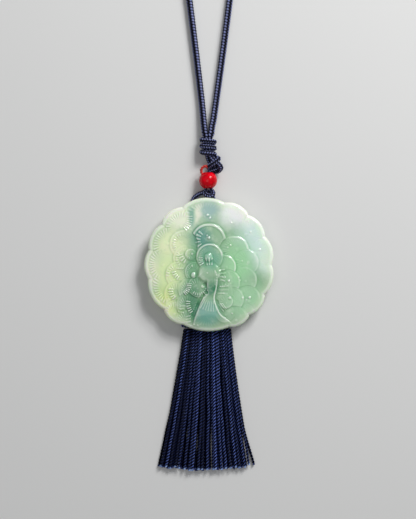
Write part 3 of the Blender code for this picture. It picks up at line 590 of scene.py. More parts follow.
# The outline: its notches in degrees, on an ellipse that is this share of it, and how far its arcs bulge
CUSPS = (0.7, 28.2, 52.8, 76.8, 114, 138.8, 165.5, 193.1, 224.9, 247.4, 287.3, 308.4, 331.8)
CUSP_SHARE, BULGE, FOOT_BULGE = 0.967, 0.316, 0.225
BACK_RISE, BACK_SLOPE, BACK_CURVE = 0.0030, 0.0090, 1.15  # how the flat back rises towards the rim
RIM_FRONT, RIM_ROUND, DOME = 0.0053, 0.0008, 0.0011  # the front's height at the rim, and what it gains inside
RELIEF_IN = 3 * RIM_ROUND  # how far inside the outline the relief gets its full height
RIDGE_POWER, DOME_POWER, BODY_POWER = 0.75, 1.3, 0.6  # below 1 for full sections, above for slim ones
NET, BACK_NET = 288, 72  # the squares along a side of the front's net and of the back's
NET_CLOSER = 0.14  # how much closer the net's squares lie at the middle
NET_INSET = 0.25  # from the outline in to both nets, as a share of the rim's rounding
EDGE_RINGS = (0.10, 0.02, 0.0)  # the rings between the nets and the outline, as the same shares
NEAR_TIMES, FAR_TIMES = 14, 110  # how often heights are evened out, to tell fine relief and broad forms
HOLLOW_SHARE, HUMP_SHARE = 0.30, 0.10  # how much the broad forms count for the painted shade in hollows and the painted highlight on humps
FEATHER_STEP, FEATHER_TILT, STEP_SOFT = 0.00006, 0.00008, 0.00024
DISC_STEP, DISC_CRISP = 0.00014, 0.5  # how much higher the crispest feathers lie, and from what crispness
FEATHER_LIP, LIP_SHARE = 0.00013, 0.085
RING_POWER, RING_LEAST = 1.3, 0.1  # how a ring's height falls where it is less crisp, and on its far side
RING_SWING, RING_END, RING_SOFT = 0.25, 0.95, 0.4  # where it faces up, and where and how softly it ends
EYE_HEIGHT, EYE_SHARE, EYE_OUT = 0.00006, 0.14, 0.22
RIB_PITCH, RIB_HEIGHT, RIBS_AT = 0.0007, 0.00012, 0.7  # the pitch is measured at this share of the radius
RIBS_OUT, RIBS_OUT_SOFT, RIBS_IN, RIBS_IN_SOFT = 0.84, 0.12, 0.42, 0.15
# How shallow ribs get at the right, and where and how steeply: in a feather, in the fan and in the scallops
FEATHER_RIBS_LEFT, FAN_RIBS_LEFT, LOBE_RIBS_LEFT = (0.25, 0.5, 0.7), (0.35, 0.6, 1.2), (0.12, 0.3, 1.0)
LOBE_RIBS, LOBE_RIB_COUNT, LOBE_RIB_HEIGHT = (0.07, 0.19, 0.02, 0.07), 30, 0.000156
LOBE_EYE_IN, LOBE_EYE, LOBE_LIP, LOBE_LIP_IN, LOBE_LIP_HEIGHT = 0.29, 0.030, 0.016, 0.046, 0.000078
GROOVE_WIDTH, GROOVE_REACH = 0.024, 0.13

# The fan's feathers from the top down: across, up and radius in half widths, and how crisp their rings are
TOP_ROW = (
    (0.255, -0.560, 0.112, 0.7),
    (-0.165, -0.325, 0.172, 0.5),
    (-0.292, 0.171, 0.086, 0.6),
    (0.003, 0.132, 0.210, 1.0),
)
INNER_ROW = (
    (0.240, -0.740, 0.150, 0.3),
    (0.205, -0.400, 0.160, 0.3),
    (0.400, -0.816, 0.187, 0.3),
    (0.354, -0.521, 0.185, 0.4),
    (0.291, -0.256, 0.190, 0.5),
    (0.229, -0.023, 0.187, 0.7),
    (-0.347, -0.847, 0.180, 0.3),
    (-0.331, -0.614, 0.185, 0.4),
    (-0.300, -0.381, 0.185, 0.3),
    (-0.222, -0.101, 0.160, 0.5),
)
MIDDLE_ROW = (
    (0.545, -0.770, 0.190, 0.3),
    (0.586, -0.520, 0.210, 0.4),
    (0.524, -0.225, 0.218, 0.5),
    (0.560, 0.045, 0.205, 0.4),
    (0.384, 0.225, 0.233, 0.6),
    (-0.520, -0.720, 0.195, 0.3),
    (-0.490, -0.445, 0.215, 0.4),
    (-0.470, -0.150, 0.215, 0.4),
    (-0.360, 0.110, 0.205, 0.4),
    (-0.400, 0.330, 0.220, 0.4),
    (-0.012, 0.381, 0.272, 1.0),
)

# The bird's crest, its stem, the head and the face: across, up, half width, half height and height
CREST_TIP = (-0.012, 0.120, 0.085, 0.080, 0.00015)
CREST_STEM = (-0.005, 0.010, 0.075, 0.150, 0.00022)
HEAD = (0.045, -0.115, 0.155, 0.180, 0.0005)
FACE = (-0.055, -0.125, 0.155, 0.170, 0.0004)
# The body's two sides at each level, and its height
BODY_UP = (-0.15, -0.288, -0.381, -0.505, -0.630, -0.769, -0.878, -1.080)
BODY_LEFT = (-0.060, -0.044, -0.044, -0.106, -0.168, -0.222, -0.261, -0.292)
BODY_RIGHT = (0.130, 0.127, 0.112, 0.089, 0.120, 0.197, 0.337, 0.446)
BODY_HEIGHT, NECK_FADE = 0.00045, 0.08
# The raised, notched edge of the wing
WING_EDGE = (
    (0.080, -0.055),
    (0.112, -0.148),
    (0.114, -0.319),
    (0.074, -0.505),
    (0.104, -0.630),
    (0.174, -0.769),
    (0.322, -0.878),
)
WING_EDGE_HALF, WING_EDGE_HEIGHT = 0.015, 0.00018
WING_LOW, WING_RISE, WING_FALL = -0.92, 0.20, 0.10
NOTCH_PITCH, NOTCH_DEPTH, NOTCH_LOW, NOTCH_FADE = 0.042, 0.45, -0.40, 0.08
PEDESTAL, BIRD_SOFT, BIRD_FOOT, BIRD_FADE = 0.00030, 0.00024, -1.04, 0.34
COMB_SOFT = 0.03

# Combs of short ribs: the fan's centre, nearest and farthest, first and last degree, ribs and height
COMBS = (
    (-0.533, 0.738, 0.171, 0.288, -52, 10, 7, 0.00019),
    (-0.400, 0.330, 0.110, 0.190, 105, 205, 7, 0.00013),
    (-0.360, 0.110, 0.105, 0.180, 140, 228, 6, 0.00013),
    (-0.520, -0.720, 0.100, 0.170, 130, 225, 6, 0.00014),
    (-0.490, -0.150, 0.120, 0.195, 118, 190, 5, 0.00013),
    (-0.012, 0.396, 0.109, 0.225, 130, 218, 5, 0.00017),
    (0.034, 0.093, 0.124, 0.218, 166, 212, 4, 0.00020),
    (-0.292, 0.210, 0.117, 0.225, 188, 246, 4, 0.00020),
    (-0.393, -0.054, 0.124, 0.218, 192, 242, 4, 0.00027),
    (-0.409, -0.381, 0.140, 0.241, 170, 228, 5, 0.00027),
    (-0.487, -0.303, 0.117, 0.218, -56, 10, 7, 0.00032),
    (-0.098, -0.583, 0.187, 0.280, 170, 222, 6, 0.00032),
    (-0.160, -0.303, 0.101, 0.179, 228, 322, 7, 0.00017),
    (0.058, -0.303, 0.240, 0.430, 232, 286, 9, 0.00010),
)
# Single raised strokes, or cuts where the height is below 0: from, to, half width and height
STROKES = (
    (0.140, -0.606, 0.219, -0.710, 0.012, 0.00016),
    (0.173, -0.595, 0.244, -0.689, 0.012, 0.00016),
    (0.207, -0.595, 0.260, -0.667, 0.011, 0.00013),
    (0.159, -0.085, 0.229, -0.062, 0.014, 0.00012),
    (0.166, -0.132, 0.244, -0.120, 0.014, 0.00012),
    (0.174, -0.179, 0.244, -0.182, 0.014, 0.00012),
    (0.174, -0.225, 0.236, -0.241, 0.014, 0.00010),
    (0.159, -0.326, 0.291, -0.319, 0.014, 0.00012),
    (0.151, -0.381, 0.291, -0.381, 0.014, 0.00008),
    (0.135, -0.432, 0.275, -0.437, 0.014, 0.00010),
    (-0.100, -0.450, -0.175, -0.610, 0.030, -0.00012),
    (-0.175, -0.610, -0.245, -0.780, 0.030, -0.00014),
    (-0.245, -0.780, -0.278, -0.905, 0.030, -0.00010),
    (-0.362, -0.801, -0.300, -0.779, 0.014, 0.00010),
    (-0.362, -0.841, -0.300, -0.825, 0.014, 0.00010),
    (-0.347, -0.885, -0.292, -0.869, 0.014, 0.00010),
    (-0.455, -0.630, -0.378, -0.630, 0.016, 0.00010),
    (-0.471, -0.673, -0.393, -0.679, 0.016, 0.00010),
    (-0.479, -0.717, -0.409, -0.735, 0.016, 0.00010),
    (-0.502, -0.048, -0.409, -0.048, 0.016, 0.00010),
    (-0.055, 0.110, -0.035, 0.015, 0.014, 0.00018),
    (-0.005, 0.110, 0.002, 0.015, 0.014, 0.00018),
    (0.045, 0.110, 0.038, 0.015, 0.014, 0.00018),
    (0.088, -0.085, 0.090, -0.300, 0.012, 0.00010),
)
# Small round buttons, or pits where the height is below 0: across, up, radius and height
BUTTONS = (
    (-0.012, 0.125, 0.072, 0.00050),
    (-0.269, 0.179, 0.020, 0.00014),
    (-0.249, -0.152, 0.047, 0.00034),
    (-0.106, -0.326, 0.030, 0.00022),
    (-0.054, -0.365, 0.017, 0.00018),
    (-0.072, -0.300, 0.036, -0.00030),
    (-0.045, -0.420, 0.030, -0.00025),
    (-0.085, -0.465, 0.030, -0.00020),
    (0.300, -0.241, 0.022, 0.00022),
    (0.252, -0.295, 0.019, 0.00012),
    (0.316, -0.505, 0.025, 0.00024),
    (0.518, -0.505, 0.022, 0.00016),
    (0.578, -0.533, 0.017, 0.00012),
    (0.626, -0.499, 0.025, 0.00022),
    (0.331, 0.314, 0.020, 0.00018),
    (0.283, 0.283, 0.016, 0.00010),
    (0.348, 0.664, 0.017, 0.00014),
    (0.639, 0.521, 0.019, 0.00014),
    (0.606, 0.687, 0.016, 0.00010),
    (0.779, 0.249, 0.022, 0.00014),
    (-0.036, 0.466, 0.017, 0.00014),
    (-0.005, 0.427, 0.026, 0.00026),
    (-0.030, 0.785, 0.022, 0.00018),
    (0.008, 0.738, 0.019, 0.00014),
    (0.513, 0.070, 0.019, 0.00010),
    (-0.238, -0.917, 0.020, 0.00016),
    (-0.179, -0.934, 0.022, 0.00016),
    (0.353, -0.743, 0.019, 0.00014),
    (0.457, -0.187, 0.016, 0.00014),
    (0.480, -0.230, 0.014, 0.00010),
    (-0.033, -0.117, 0.016, 0.00012),
    (-0.269, -0.008, 0.017, 0.00012),
)


def cusp_point(angle):
    """The cusp at that angle, on an ellipse inside the outline."""
    a, b = CUSP_SHARE * JADE_WIDTH / 2, CUSP_SHARE * JADE_HEIGHT / 2
    radius = 1 / math.hypot(math.cos(angle) / a, math.sin(angle) / b)
    return np.array([radius * math.cos(angle), radius * math.sin(angle)])


def lobe_circle(first, last):
    """The centre and radius of the arc between two cusps, given as angles."""
    start, end = cusp_point(first), cusp_point(last)
    middle, width = (start + end) / 2, np.linalg.norm(end - start) / 2
    bulge = (FOOT_BULGE if first < math.radians(270) < last else BULGE) * width
    radius = (width**2 + bulge**2) / (2 * bulge)
    outward = middle / np.linalg.norm(middle)
    return middle + outward * (bulge - radius), radius


CUSP_ANGLES = np.radians(CUSPS + (CUSPS[0] + 360,))
LOBES = [lobe_circle(a, b) for a, b in zip(CUSP_ANGLES[:-1], CUSP_ANGLES[1:])]
LOBE_CENTRES = np.array([centre for centre, _ in LOBES])
LOBE_RADII = np.array([radius for _, radius in LOBES])
LOBE_OUT = LOBE_CENTRES / np.linalg.norm(LOBE_CENTRES, axis=1)[:, None]
LOBE_EYES = LOBE_CENTRES + LOBE_OUT * (LOBE_RADII - LOBE_EYE_IN * HALF)[:, None]


def lobe_at(angle):
    """The index of the lobe that holds each angle."""
    turned_angle = np.mod(angle - CUSP_ANGLES[0], 2 * math.pi) + CUSP_ANGLES[0]
    return np.clip(np.searchsorted(CUSP_ANGLES, turned_angle, side="right") - 1, 0, len(LOBES) - 1)


def reach(angle):
    """The outline's distance from the centre at each angle."""
    k = lobe_at(angle)
    along = LOBE_CENTRES[k, 0] * np.cos(angle) + LOBE_CENTRES[k, 1] * np.sin(angle)
    return along + np.sqrt(LOBE_RADII[k] ** 2 - (LOBE_CENTRES[k] ** 2).sum(-1) + along**2)


def inside_edge(x, y):
    """How far each point lies inside the outline."""
    return reach(np.arctan2(y, x)) - np.hypot(x, y)


def band(value, low, high, rise, fall):
    """1 between low and high and 0 outside them, with soft passages on the inner side of each."""
    return smooth((value - low) / rise) * smooth((high - value) / fall)


def from_left(share, least, middle, slope):
    """1 at the left, and falling to the least at the right."""
    return least + (1 - least) * smooth(middle - slope * share)


def ridge(distance, half_width):
    """A rounded ridge, 1 on its line and 0 at its half width."""
    return np.maximum(0, 1 - (distance / half_width) ** 2) ** RIDGE_POWER


def ribs(x, y, centre, count):
    """Ribs that fan out round a centre, from 0 in their grooves to 1 on their crests."""
    return 0.5 + 0.5 * np.cos(count * np.arctan2(y - centre[1], x - centre[0]))


def feather_height(x, y, centre, radius, outward, level, crisp):
    """A tilted disc with an eye, ribs cut deepest at its left, and a raised ring, longer when crisp."""
    dx, dy = x - centre[0], y - centre[1]
    away = np.hypot(dx, dy)
    lip = radius * LIP_SHARE
    eye = centre + EYE_OUT * radius * outward
    eye_away = np.hypot(x - eye[0], y - eye[1])
    height = level + DISC_STEP * smooth((crisp - DISC_CRISP) / (1 - DISC_CRISP))
    height = height + FEATHER_TILT * (dx * outward[0] + dy * outward[1]) / radius
    faces_up = math.pi / 2 - math.pi / 4 * np.clip(centre[0] / HALF / RING_SWING, -1, 1)
    arc = smooth((np.cos(np.arctan2(dy, dx) - faces_up) - RING_END + crisp) / RING_SOFT)
    ring = crisp**RING_POWER * (RING_LEAST + (1 - RING_LEAST) * arc)
    height = height + FEATHER_LIP * ring * ridge(away - radius + lip, lip)
    height = height + EYE_HEIGHT * ridge(eye_away, radius * EYE_SHARE)
    count = round(2 * math.pi * RIBS_AT * radius / RIB_PITCH)
    window = smooth((RIBS_OUT - away / radius) / RIBS_OUT_SOFT)
    window = window * smooth((eye_away / radius - RIBS_IN) / RIBS_IN_SOFT)
    depth = from_left(dx / radius, *FEATHER_RIBS_LEFT) * from_left(x / HALF, *FAN_RIBS_LEFT)
    return height + RIB_HEIGHT * window * depth * ribs(x, y, eye, count)


def lobe_height(x, y):
    """The outermost feathers, one to each scallop, with a groove between neighbours."""
    angle = np.arctan2(y, x)
    k = lobe_at(angle)
    inside = (LOBE_RADII[k] - np.hypot(x - LOBE_CENTRES[k, 0], y - LOBE_CENTRES[k, 1])) / HALF
    eye = LOBE_EYES[k, 0], LOBE_EYES[k, 1]
    height = LOBE_LIP_HEIGHT * ridge(inside - LOBE_LIP_IN, LOBE_LIP)
    height = height + EYE_HEIGHT * ridge(np.hypot(x - eye[0], y - eye[1]) / HALF, LOBE_EYE)
    depth = band(inside, *LOBE_RIBS) * from_left(x / HALF, *LOBE_RIBS_LEFT)
    height = height + LOBE_RIB_HEIGHT * depth * ribs(x, y, eye, LOBE_RIB_COUNT)
    to_cusp = np.abs(np.mod(angle[..., None] - CUSP_ANGLES[:-1] + math.pi, 2 * math.pi) - math.pi).min(-1)
    groove = 1 - smooth(to_cusp * np.hypot(x, y) / HALF / GROOVE_WIDTH)
    return height - FEATHER_LIP * groove * (1 - smooth(inside / GROOVE_REACH))


def fan_height(x, y):
    """The fan of feathers, where an upper feather hides those under it."""
    height = lobe_height(x, y)
    for row, members in ((1, MIDDLE_ROW), (2, INNER_ROW), (3, TOP_ROW)):
        for across, up, radius, crisp in reversed(members):
            centre = np.array([across, up]) * HALF
            outward = centre / np.linalg.norm(centre)
            away = np.hypot(x - centre[0], y - centre[1])
            cover = 1 - smooth((away - radius * HALF + STEP_SOFT) / (2 * STEP_SOFT))
            feather = feather_height(x, y, centre, radius * HALF, outward, row * FEATHER_STEP, crisp)
            height = height + cover * (feather - height)
    return height


def carved_details(x, y):
    """The combs of ribs, single strokes and buttons, with x and y as shares."""
    height = np.zeros_like(x)
    for across, up, near, far, first, last, count, high in COMBS:
        dx, dy = x - across, y - up
        away, turn = np.hypot(dx, dy), np.mod(np.degrees(np.arctan2(dy, dx)) - first, 360) / (last - first)
        window = band(away, near, far, COMB_SOFT, COMB_SOFT) * band(turn, 0, 1, 0.5 / count, 0.5 / count)
        height = height + high * window * (0.5 - 0.5 * np.cos(2 * math.pi * count * turn))
    for x1, y1, x2, y2, half, high in STROKES:
        height = height + high * ridge(line_distance(x, y, np.array([(x1, y1), (x2, y2)])), half)
    for across, up, radius, high in BUTTONS:
        height = height + high * ridge(np.hypot(x - across, y - up), radius)
    return height


def curve_value(at, places, values):
    """A smooth curve through the values, by Catmull-Rom."""
    order = np.argsort(places)
    places, values = np.array(places, float)[order], np.array(values, float)[order]
    slopes = np.gradient(values, places)
    k = np.clip(np.searchsorted(places, at) - 1, 0, len(places) - 2)
    step = places[k + 1] - places[k]
    t = np.clip((at - places[k]) / step, 0, 1)
    keep = 2 * t**3 - 3 * t**2 + 1
    turn = (t**3 - 2 * t**2 + t) * slopes[k] + (t**3 - t**2) * slopes[k + 1]
    return keep * values[k] + (1 - keep) * values[k + 1] + step * turn


def line_distance(x, y, line):
    """The distance from each point to a line."""
    best = np.full(np.shape(x), np.inf)
    for a, b in zip(line[:-1], line[1:]):
        d = b - a
        t = np.clip(((x - a[0]) * d[0] + (y - a[1]) * d[1]) / (d @ d), 0, 1)
        best = np.minimum(best, np.hypot(x - a[0] - t * d[0], y - a[1] - t * d[1]))
    return best


def dome(x, y, across, up, half_width, half_height, height):
    """The height of an oval dome over each point, 0 outside it."""
    away = np.hypot((x - across) / half_width, (y - up) / half_height)
    return height * np.maximum(0, 1 - away**2) ** DOME_POWER


def peacock_height(x, y):
    """The bird's height over its outline, with x and y as shares: 0 outside it."""
    left, right = (curve_value(y, BODY_UP, side) for side in (BODY_LEFT, BODY_RIGHT))
    middle, half = (left + right) / 2, (right - left) / 2
    bird = BODY_HEIGHT * ridge(x - middle, half) ** BODY_POWER * smooth((BODY_UP[0] - y) / NECK_FADE)
    for shape in (CREST_TIP, CREST_STEM, HEAD, FACE):
        bird = np.cbrt(bird**3 + dome(x, y, *shape) ** 3)
    edge = ridge(line_distance(x, y, smooth_line(WING_EDGE)), WING_EDGE_HALF)
    edge = edge * band(y, WING_LOW, WING_EDGE[0][1], WING_RISE, WING_FALL)
    wave = 0.5 + 0.5 * np.cos(y * 2 * math.pi / NOTCH_PITCH)
    notch = 1 - NOTCH_DEPTH * smooth((y - NOTCH_LOW) / NOTCH_FADE) * wave
    return bird + WING_EDGE_HEIGHT * edge * notch


def rounding(inside):
    """How far the surface falls back near the edge."""
    return RIM_ROUND * (1 - np.sqrt(1 - np.clip(1 - inside / RIM_ROUND, 0, 1) ** 2))


def front_height(x, y):
    """The height of the carved front over each point, in metres."""
    inside = inside_edge(x, y)
    share = np.clip(1 - inside / HALF, 0, 1)
    bird = peacock_height(x / HALF, y / HALF)
    cover = smooth(bird / BIRD_SOFT) * smooth((y / HALF - BIRD_FOOT) / BIRD_FADE)
    relief = fan_height(x, y) * (1 - cover) + (PEDESTAL + bird) * cover
    relief = relief + carved_details(x / HALF, y / HALF)
    return RIM_FRONT + DOME * (1 - share**2) + relief * smooth(inside / RELIEF_IN) - rounding(inside)


def back_height(x, y):
    """The height of the back over each point: flat, then rising towards the rim."""
    inside = inside_edge(x, y)
    return BACK_RISE * np.clip(1 - inside / BACK_SLOPE, 0, 1) ** BACK_CURVE + rounding(inside)


def net_angles(u, v):
    """The angle of a square net's point once the net is stretched over a disc, meeting each cusp."""
    flat = np.abs(u) > np.abs(v)
    safe = np.where(flat, u, np.where(v == 0, 1, v))
    turn = np.where(flat, math.pi / 4 * v / safe, math.pi / 2 - math.pi / 4 * u / safe)
    turn = np.mod(turn + np.where(safe < 0, math.pi, 0), 2 * math.pi)
    step = 2 * math.pi / (4 * NET)
    near = np.round(CUSP_ANGLES[:-1] / step) * step
    return turn + np.interp(turn, near, CUSP_ANGLES[:-1] - near, period=2 * math.pi)


def net_points(count, inset):
    """The points of a square net stretched over the outline, brought in by the inset."""
    u, v = np.meshgrid(np.linspace(-1, 1, count + 1), np.linspace(-1, 1, count + 1))
    angle = net_angles(u, v)
    share = np.maximum(np.abs(u), np.abs(v))
    radius = share * (1 - NET_CLOSER * (1 - share)) * (reach(angle) - inset)
    return radius * np.cos(angle), radius * np.sin(angle)


def net_border(count):
    """The indices of a net's border, anticlockwise from its lower right corner."""
    row = count + 1
    right = [count + row * j for j in range(count)]
    top = [row * count + count - i for i in range(count)]
    left = [row * (count - j) for j in range(count)]
    return right + top + left + list(range(count))


def net_faces(count, first, turned_over=False):
    """The squares of a net whose points start at the index first."""
    row, faces = count + 1, []
    for j in range(count):
        for i in range(count):
            a = first + j * row + i
            face = (a, a + 1, a + row + 1, a + row)
            faces.append(face[::-1] if turned_over else face)
    return faces


def spread_out(values, times):
    """Each value of the net evened out with its neighbours."""
    values = values.copy()
    for _ in range(times):
        sides = values[:-2, 1:-1] + values[2:, 1:-1] + values[1:-1, :-2] + values[1:-1, 2:]
        values[1:-1, 1:-1] = sides / 4
    return values


def jade_mesh():
    """The carved front on a fine net, the rounded edge in rings, and the back on a coarse net."""
    inset = RIM_ROUND * NET_INSET
    x, y = net_points(NET, inset)
    z = front_height(x, y)
    near = spread_out(z, NEAR_TIMES)
    far = spread_out(near, FAR_TIMES)
    points = [np.stack([x, y, z], -1).reshape(-1, 3)]
    # Local relief, kept as crest for the painted highlight on ridges and the painted shade in hollows; the
    # broad forms add painted shade round the big shapes.
    broad = np.where(near < far, HOLLOW_SHARE, HUMP_SHARE) * (near - far)
    crest = [(z - near + broad).ravel()]
    edge = [inside_edge(x, y).ravel()]
    faces = net_faces(NET, 0)
    last = np.array(net_border(NET))
    first = len(points[0])
    angle = np.arctan2(y.ravel()[last], x.ravel()[last])
    rings = [(share, front_height) for share in EDGE_RINGS]
    rings += [(share, back_height) for share in reversed(EDGE_RINGS)]
    for share, height in rings:
        radius = reach(angle) - RIM_ROUND * share
        ring_x, ring_y = radius * np.cos(angle), radius * np.sin(angle)
        points.append(np.stack([ring_x, ring_y, height(ring_x, ring_y)], -1))
        crest.append(np.zeros(len(angle)))
        edge.append(np.full(len(angle), RIM_ROUND * share))
        here = first + np.arange(len(angle))
        for a, b, c, d in zip(last, here, np.roll(here, -1), np.roll(last, -1)):
            faces.append((a, b, c, d))
        last, first = here, first + len(angle)
    x, y = net_points(BACK_NET, inset)
    points.append(np.stack([x, y, back_height(x, y)], -1).reshape(-1, 3))
    crest.append(np.zeros(x.size))
    edge.append(inside_edge(x, y).ravel())
    faces += net_faces(BACK_NET, first, turned_over=True)
    border = first + np.array(net_border(BACK_NET))
    skip = NET // BACK_NET
    for i, (a, b) in enumerate(zip(border, np.roll(border, -1))):
        side = [last[(i * skip + k) % len(last)] for k in range(skip + 1)]
        for k in range(skip):
            faces.append((side[k], a if k < skip // 2 else b, side[k + 1]))
        faces.append((side[skip // 2], a, b))
    mesh = bpy.data.meshes.new("jade")
    mesh.from_pydata(np.concatenate(points).tolist(), [], [tuple(int(i) for i in f) for f in faces])
    for title, values in (("crest", crest), ("edge", edge)):
        millimetres = np.concatenate(values) * 1000
        mesh.attributes.new(title, "FLOAT", "POINT").data.foreach_set("value", millimetres)
    mesh.shade_smooth()
    return mesh


DRILL_STEP = 0.001


def drilled(piece, name, line, diameter, closed=False):
    """Cuts a cord's passage out of the piece, along the cord's own line."""
    gone = np.concatenate([[0], np.cumsum(np.linalg.norm(np.diff(line, axis=0), axis=1))])
    at = np.linspace(0, gone[-1], round(gone[-1] / DRILL_STEP))[: -1 if closed else None]
    line = np.stack([np.interp(at, gone, line[:, k]) for k in range(3)], -1)
    curve = bpy.data.curves.new(name, "CURVE")
    curve.dimensions = "3D"
    curve.bevel_depth = diameter / 2
    curve.bevel_resolution = 3
    curve.use_fill_caps = True
    spline = curve.splines.new("POLY")
    spline.points.add(len(line) - 1)
    spline.points.foreach_set("co", np.c_[line, np.ones(len(line))].ravel())
    spline.use_cyclic_u = closed
    cord = bpy.data.objects.new(name, curve)
    drill = in_scene(name + "_drill", bpy.data.meshes.new_from_object(cord))
    cut = piece.modifiers.new(name, "BOOLEAN")
    cut.operation = "DIFFERENCE"
    cut.solver = "EXACT"
    cut.object = drill
    made_plain(piece, cut)
    bpy.data.objects.remove(drill)
    bpy.data.objects.remove(cord)


# Clouds in the stone: across, up, how far they reach sideways and up, their strength and their colour
CLOUDS = (
    (0.73, 0.47, 0.40, 0.65, 0.95, (0.73, 0.88, 0.84)),
    (0.42, 0.83, 0.40, 0.31, 0.95, (0.93, 0.95, 0.94)),
    (0.91, 0.09, 0.22, 0.37, 0.90, (0.75, 0.90, 0.79)),
    (-0.46, 0.77, 0.44, 0.31, 0.95, (0.90, 0.95, 0.76)),
    (-0.61, 0.32, 0.37, 0.37, 0.95, (0.87, 0.95, 0.61)),
    (-0.64, -0.15, 0.31, 0.40, 0.95, (0.81, 0.94, 0.52)),
    (-0.70, -0.61, 0.31, 0.34, 0.90, (0.83, 0.95, 0.40)),
    (-0.49, -0.91, 0.25, 0.19, 0.85, (0.66, 0.78, 0.50)),
    (0.56, -0.52, 0.40, 0.34, 0.80, (0.45, 0.74, 0.47)),
    (0.45, 0.05, 0.34, 0.47, 0.90, (0.40, 0.74, 0.42)),
    (-0.27, -0.04, 0.12, 0.56, 0.95, (0.19, 0.45, 0.24)),
    (-0.24, -0.66, 0.14, 0.47, 0.95, (0.06, 0.27, 0.13)),
    (-0.10, 0.43, 0.22, 0.28, 0.95, (0.12, 0.36, 0.29)),
    (0.03, 0.13, 0.23, 0.22, 0.85, (0.17, 0.47, 0.32)),
    (0.04, -0.35, 0.17, 0.19, 0.90, (0.01, 0.23, 0.10)),
    (-0.03, -0.78, 0.26, 0.26, 0.85, (0.21, 0.51, 0.43)),
    (-0.02, -0.70, 0.15, 0.13, 0.70, (0.33, 0.57, 0.47)),
    (-0.88, -0.07, 0.13, 0.40, 0.75, (0.94, 0.95, 0.73)),
    (-0.02, 0.89, 0.19, 0.19, 0.80, (0.38, 0.56, 0.56)),
    (-0.25, 0.79, 0.08, 0.20, 0.80, (0.19, 0.46, 0.36)),
    (-0.16, 0.82, 0.06, 0.14, 0.80, (0.89, 0.91, 0.76)),
)


def jade_finish():
    """Polished jade: soft clouds of green, yellow and white, a painted glow of light through the thin rim,
    painted highlights on crests and painted shade in cuts.
    """
    material, nodes = new_material("jade")
    place = nodes.add("ShaderNodeTexCoord", out="Object")
    drift = nodes.noise(place, 130.0, 3.0).other("Color").vector("SUBTRACT", (0.5, 0.5, 0.5)).scaled(0.005)
    warped = place.vector("MULTIPLY", (1, 1, 0)).vector("ADD", drift)
    colour = (0.33, 0.54, 0.34)
    for across, up, wide, high, strength, tint in CLOUDS:
        offset = warped.vector("SUBTRACT", (across * HALF, up * HALF, 0))
        away = offset.vector("DIVIDE", (wide * HALF, high * HALF, 1)).vector("LENGTH").other("Value")
        cloud = (1.0 - nodes.between(away, 0.25, 1.15)) * strength
        colour = nodes.mix(cloud, colour, tint)
    milk = nodes.between(nodes.noise(place, 260.0, 4.0, 0.6), 0.52, 0.74)
    colour = nodes.mix(milk * 0.30, colour, (0.88, 0.93, 0.80))
    vein = nodes.between(nodes.noise(place, 900.0, 3.0, 0.65), 0.56, 0.70)
    colour = nodes.mix(vein * 0.10, colour, (0.16, 0.34, 0.20))
    # A painted glow of light through the thin rim: wide and faint, then narrower and brighter at the very
    # edge.
    edge = nodes.attribute("edge")
    colour = nodes.mix((1.0 - nodes.between(edge, 0.4, 3.6)) * 0.40, colour, (0.86, 0.93, 0.70))
    colour = nodes.mix((1.0 - nodes.between(edge, 0.1, 0.6)) * 0.45, colour, (0.92, 0.96, 0.80))
    # Painted highlight on the crests of the relief and painted shade in its hollows; the hollows are also
    # rougher.
    crest = nodes.attribute("crest")
    hollow = nodes.between(0.0 - crest, 0.0, 0.08)
    colour = nodes.mix(nodes.between(crest, 0.0, 0.10) * 0.55, colour, (0.93, 0.97, 0.90))
    colour = nodes.mix(hollow * 0.70, colour, colour.vector("MULTIPLY", (0.60, 0.78, 0.65)))
    scratch = nodes.noise(place, 3000.0, 2.0)
    rough = 0.08 + scratch * 0.08 + hollow * 0.12
    bump = nodes.add("ShaderNodeBump", None, 0.10, 0.00006, at={"Height": nodes.noise(place, 1400.0, 2.0)})
    look = {"Base Color": colour, "Roughness": rough, "Normal": bump, "IOR": 1.62}
    look.update({"Subsurface Weight": 0.80, "Subsurface Radius": (0.8, 1.0, 0.7), "Subsurface Scale": 0.0016})
    nodes.surface(look)
    return material


TOP_TUNNEL, TOP_TUNNEL_END, FOOT_TUNNEL = 0.0023, 0.0240, 0.0014  # widths, and how far up the first one goes
TIE_WIDTH, TIE_LAY = 0.0008, 0.0018
TIE_IN, TUNNEL_IN = 0.0014, 0.0051  # from the jade's foot up to the strands' fold and to the tunnel
TIE_SIDE, TIE_Z = 0.0086, 0.00095
JADE_FOOT = -float(reach(np.array(math.radians(270))))
TIE_Y = JADE_FOOT + TIE_IN
TASSEL_X = -0.0007


def tie_points():
    """Across behind the pendant's foot, where the strands fold, and through the lower tunnel."""
    tunnel = JADE_FOOT + TUNNEL_IN
    right = [
        (TIE_SIDE * 0.5, TIE_Y, TIE_Z),
        (TIE_SIDE - 0.0008, TIE_Y + 0.0001, TIE_Z),
        (TIE_SIDE, TIE_Y + 0.0009, TIE_Z),
        (TIE_SIDE - 0.0010, TIE_Y + 0.0022, TIE_Z - 0.0001),
        (0.0040, tunnel - 0.0004, 0.0006),
        (0.0021, tunnel, 0.0010),
    ]
    points = [(0, TIE_Y, TIE_Z), *right, (0, tunnel, 0.0022), *[(-x, y, z) for x, y, z in reversed(right)]]
    closed = points[-2:] + points + points[:3]
    return smooth_line(closed)[2 * LINE_STEPS : -2 * LINE_STEPS - 1] + np.array([TASSEL_X, 0, 0])


tie_route = tie_points()
jade = in_scene("jade", jade_mesh())
drilled(jade, "top_tunnel", pendant_route[pendant_route[:, 1] < TOP_TUNNEL_END], TOP_TUNNEL)
drilled(jade, "foot_tunnel", tie_route, FOOT_TUNNEL, closed=True)
jade.data.materials.clear()
jade.data.materials.append(jade_finish())
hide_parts("jade_pendant")
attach(jade, "root")


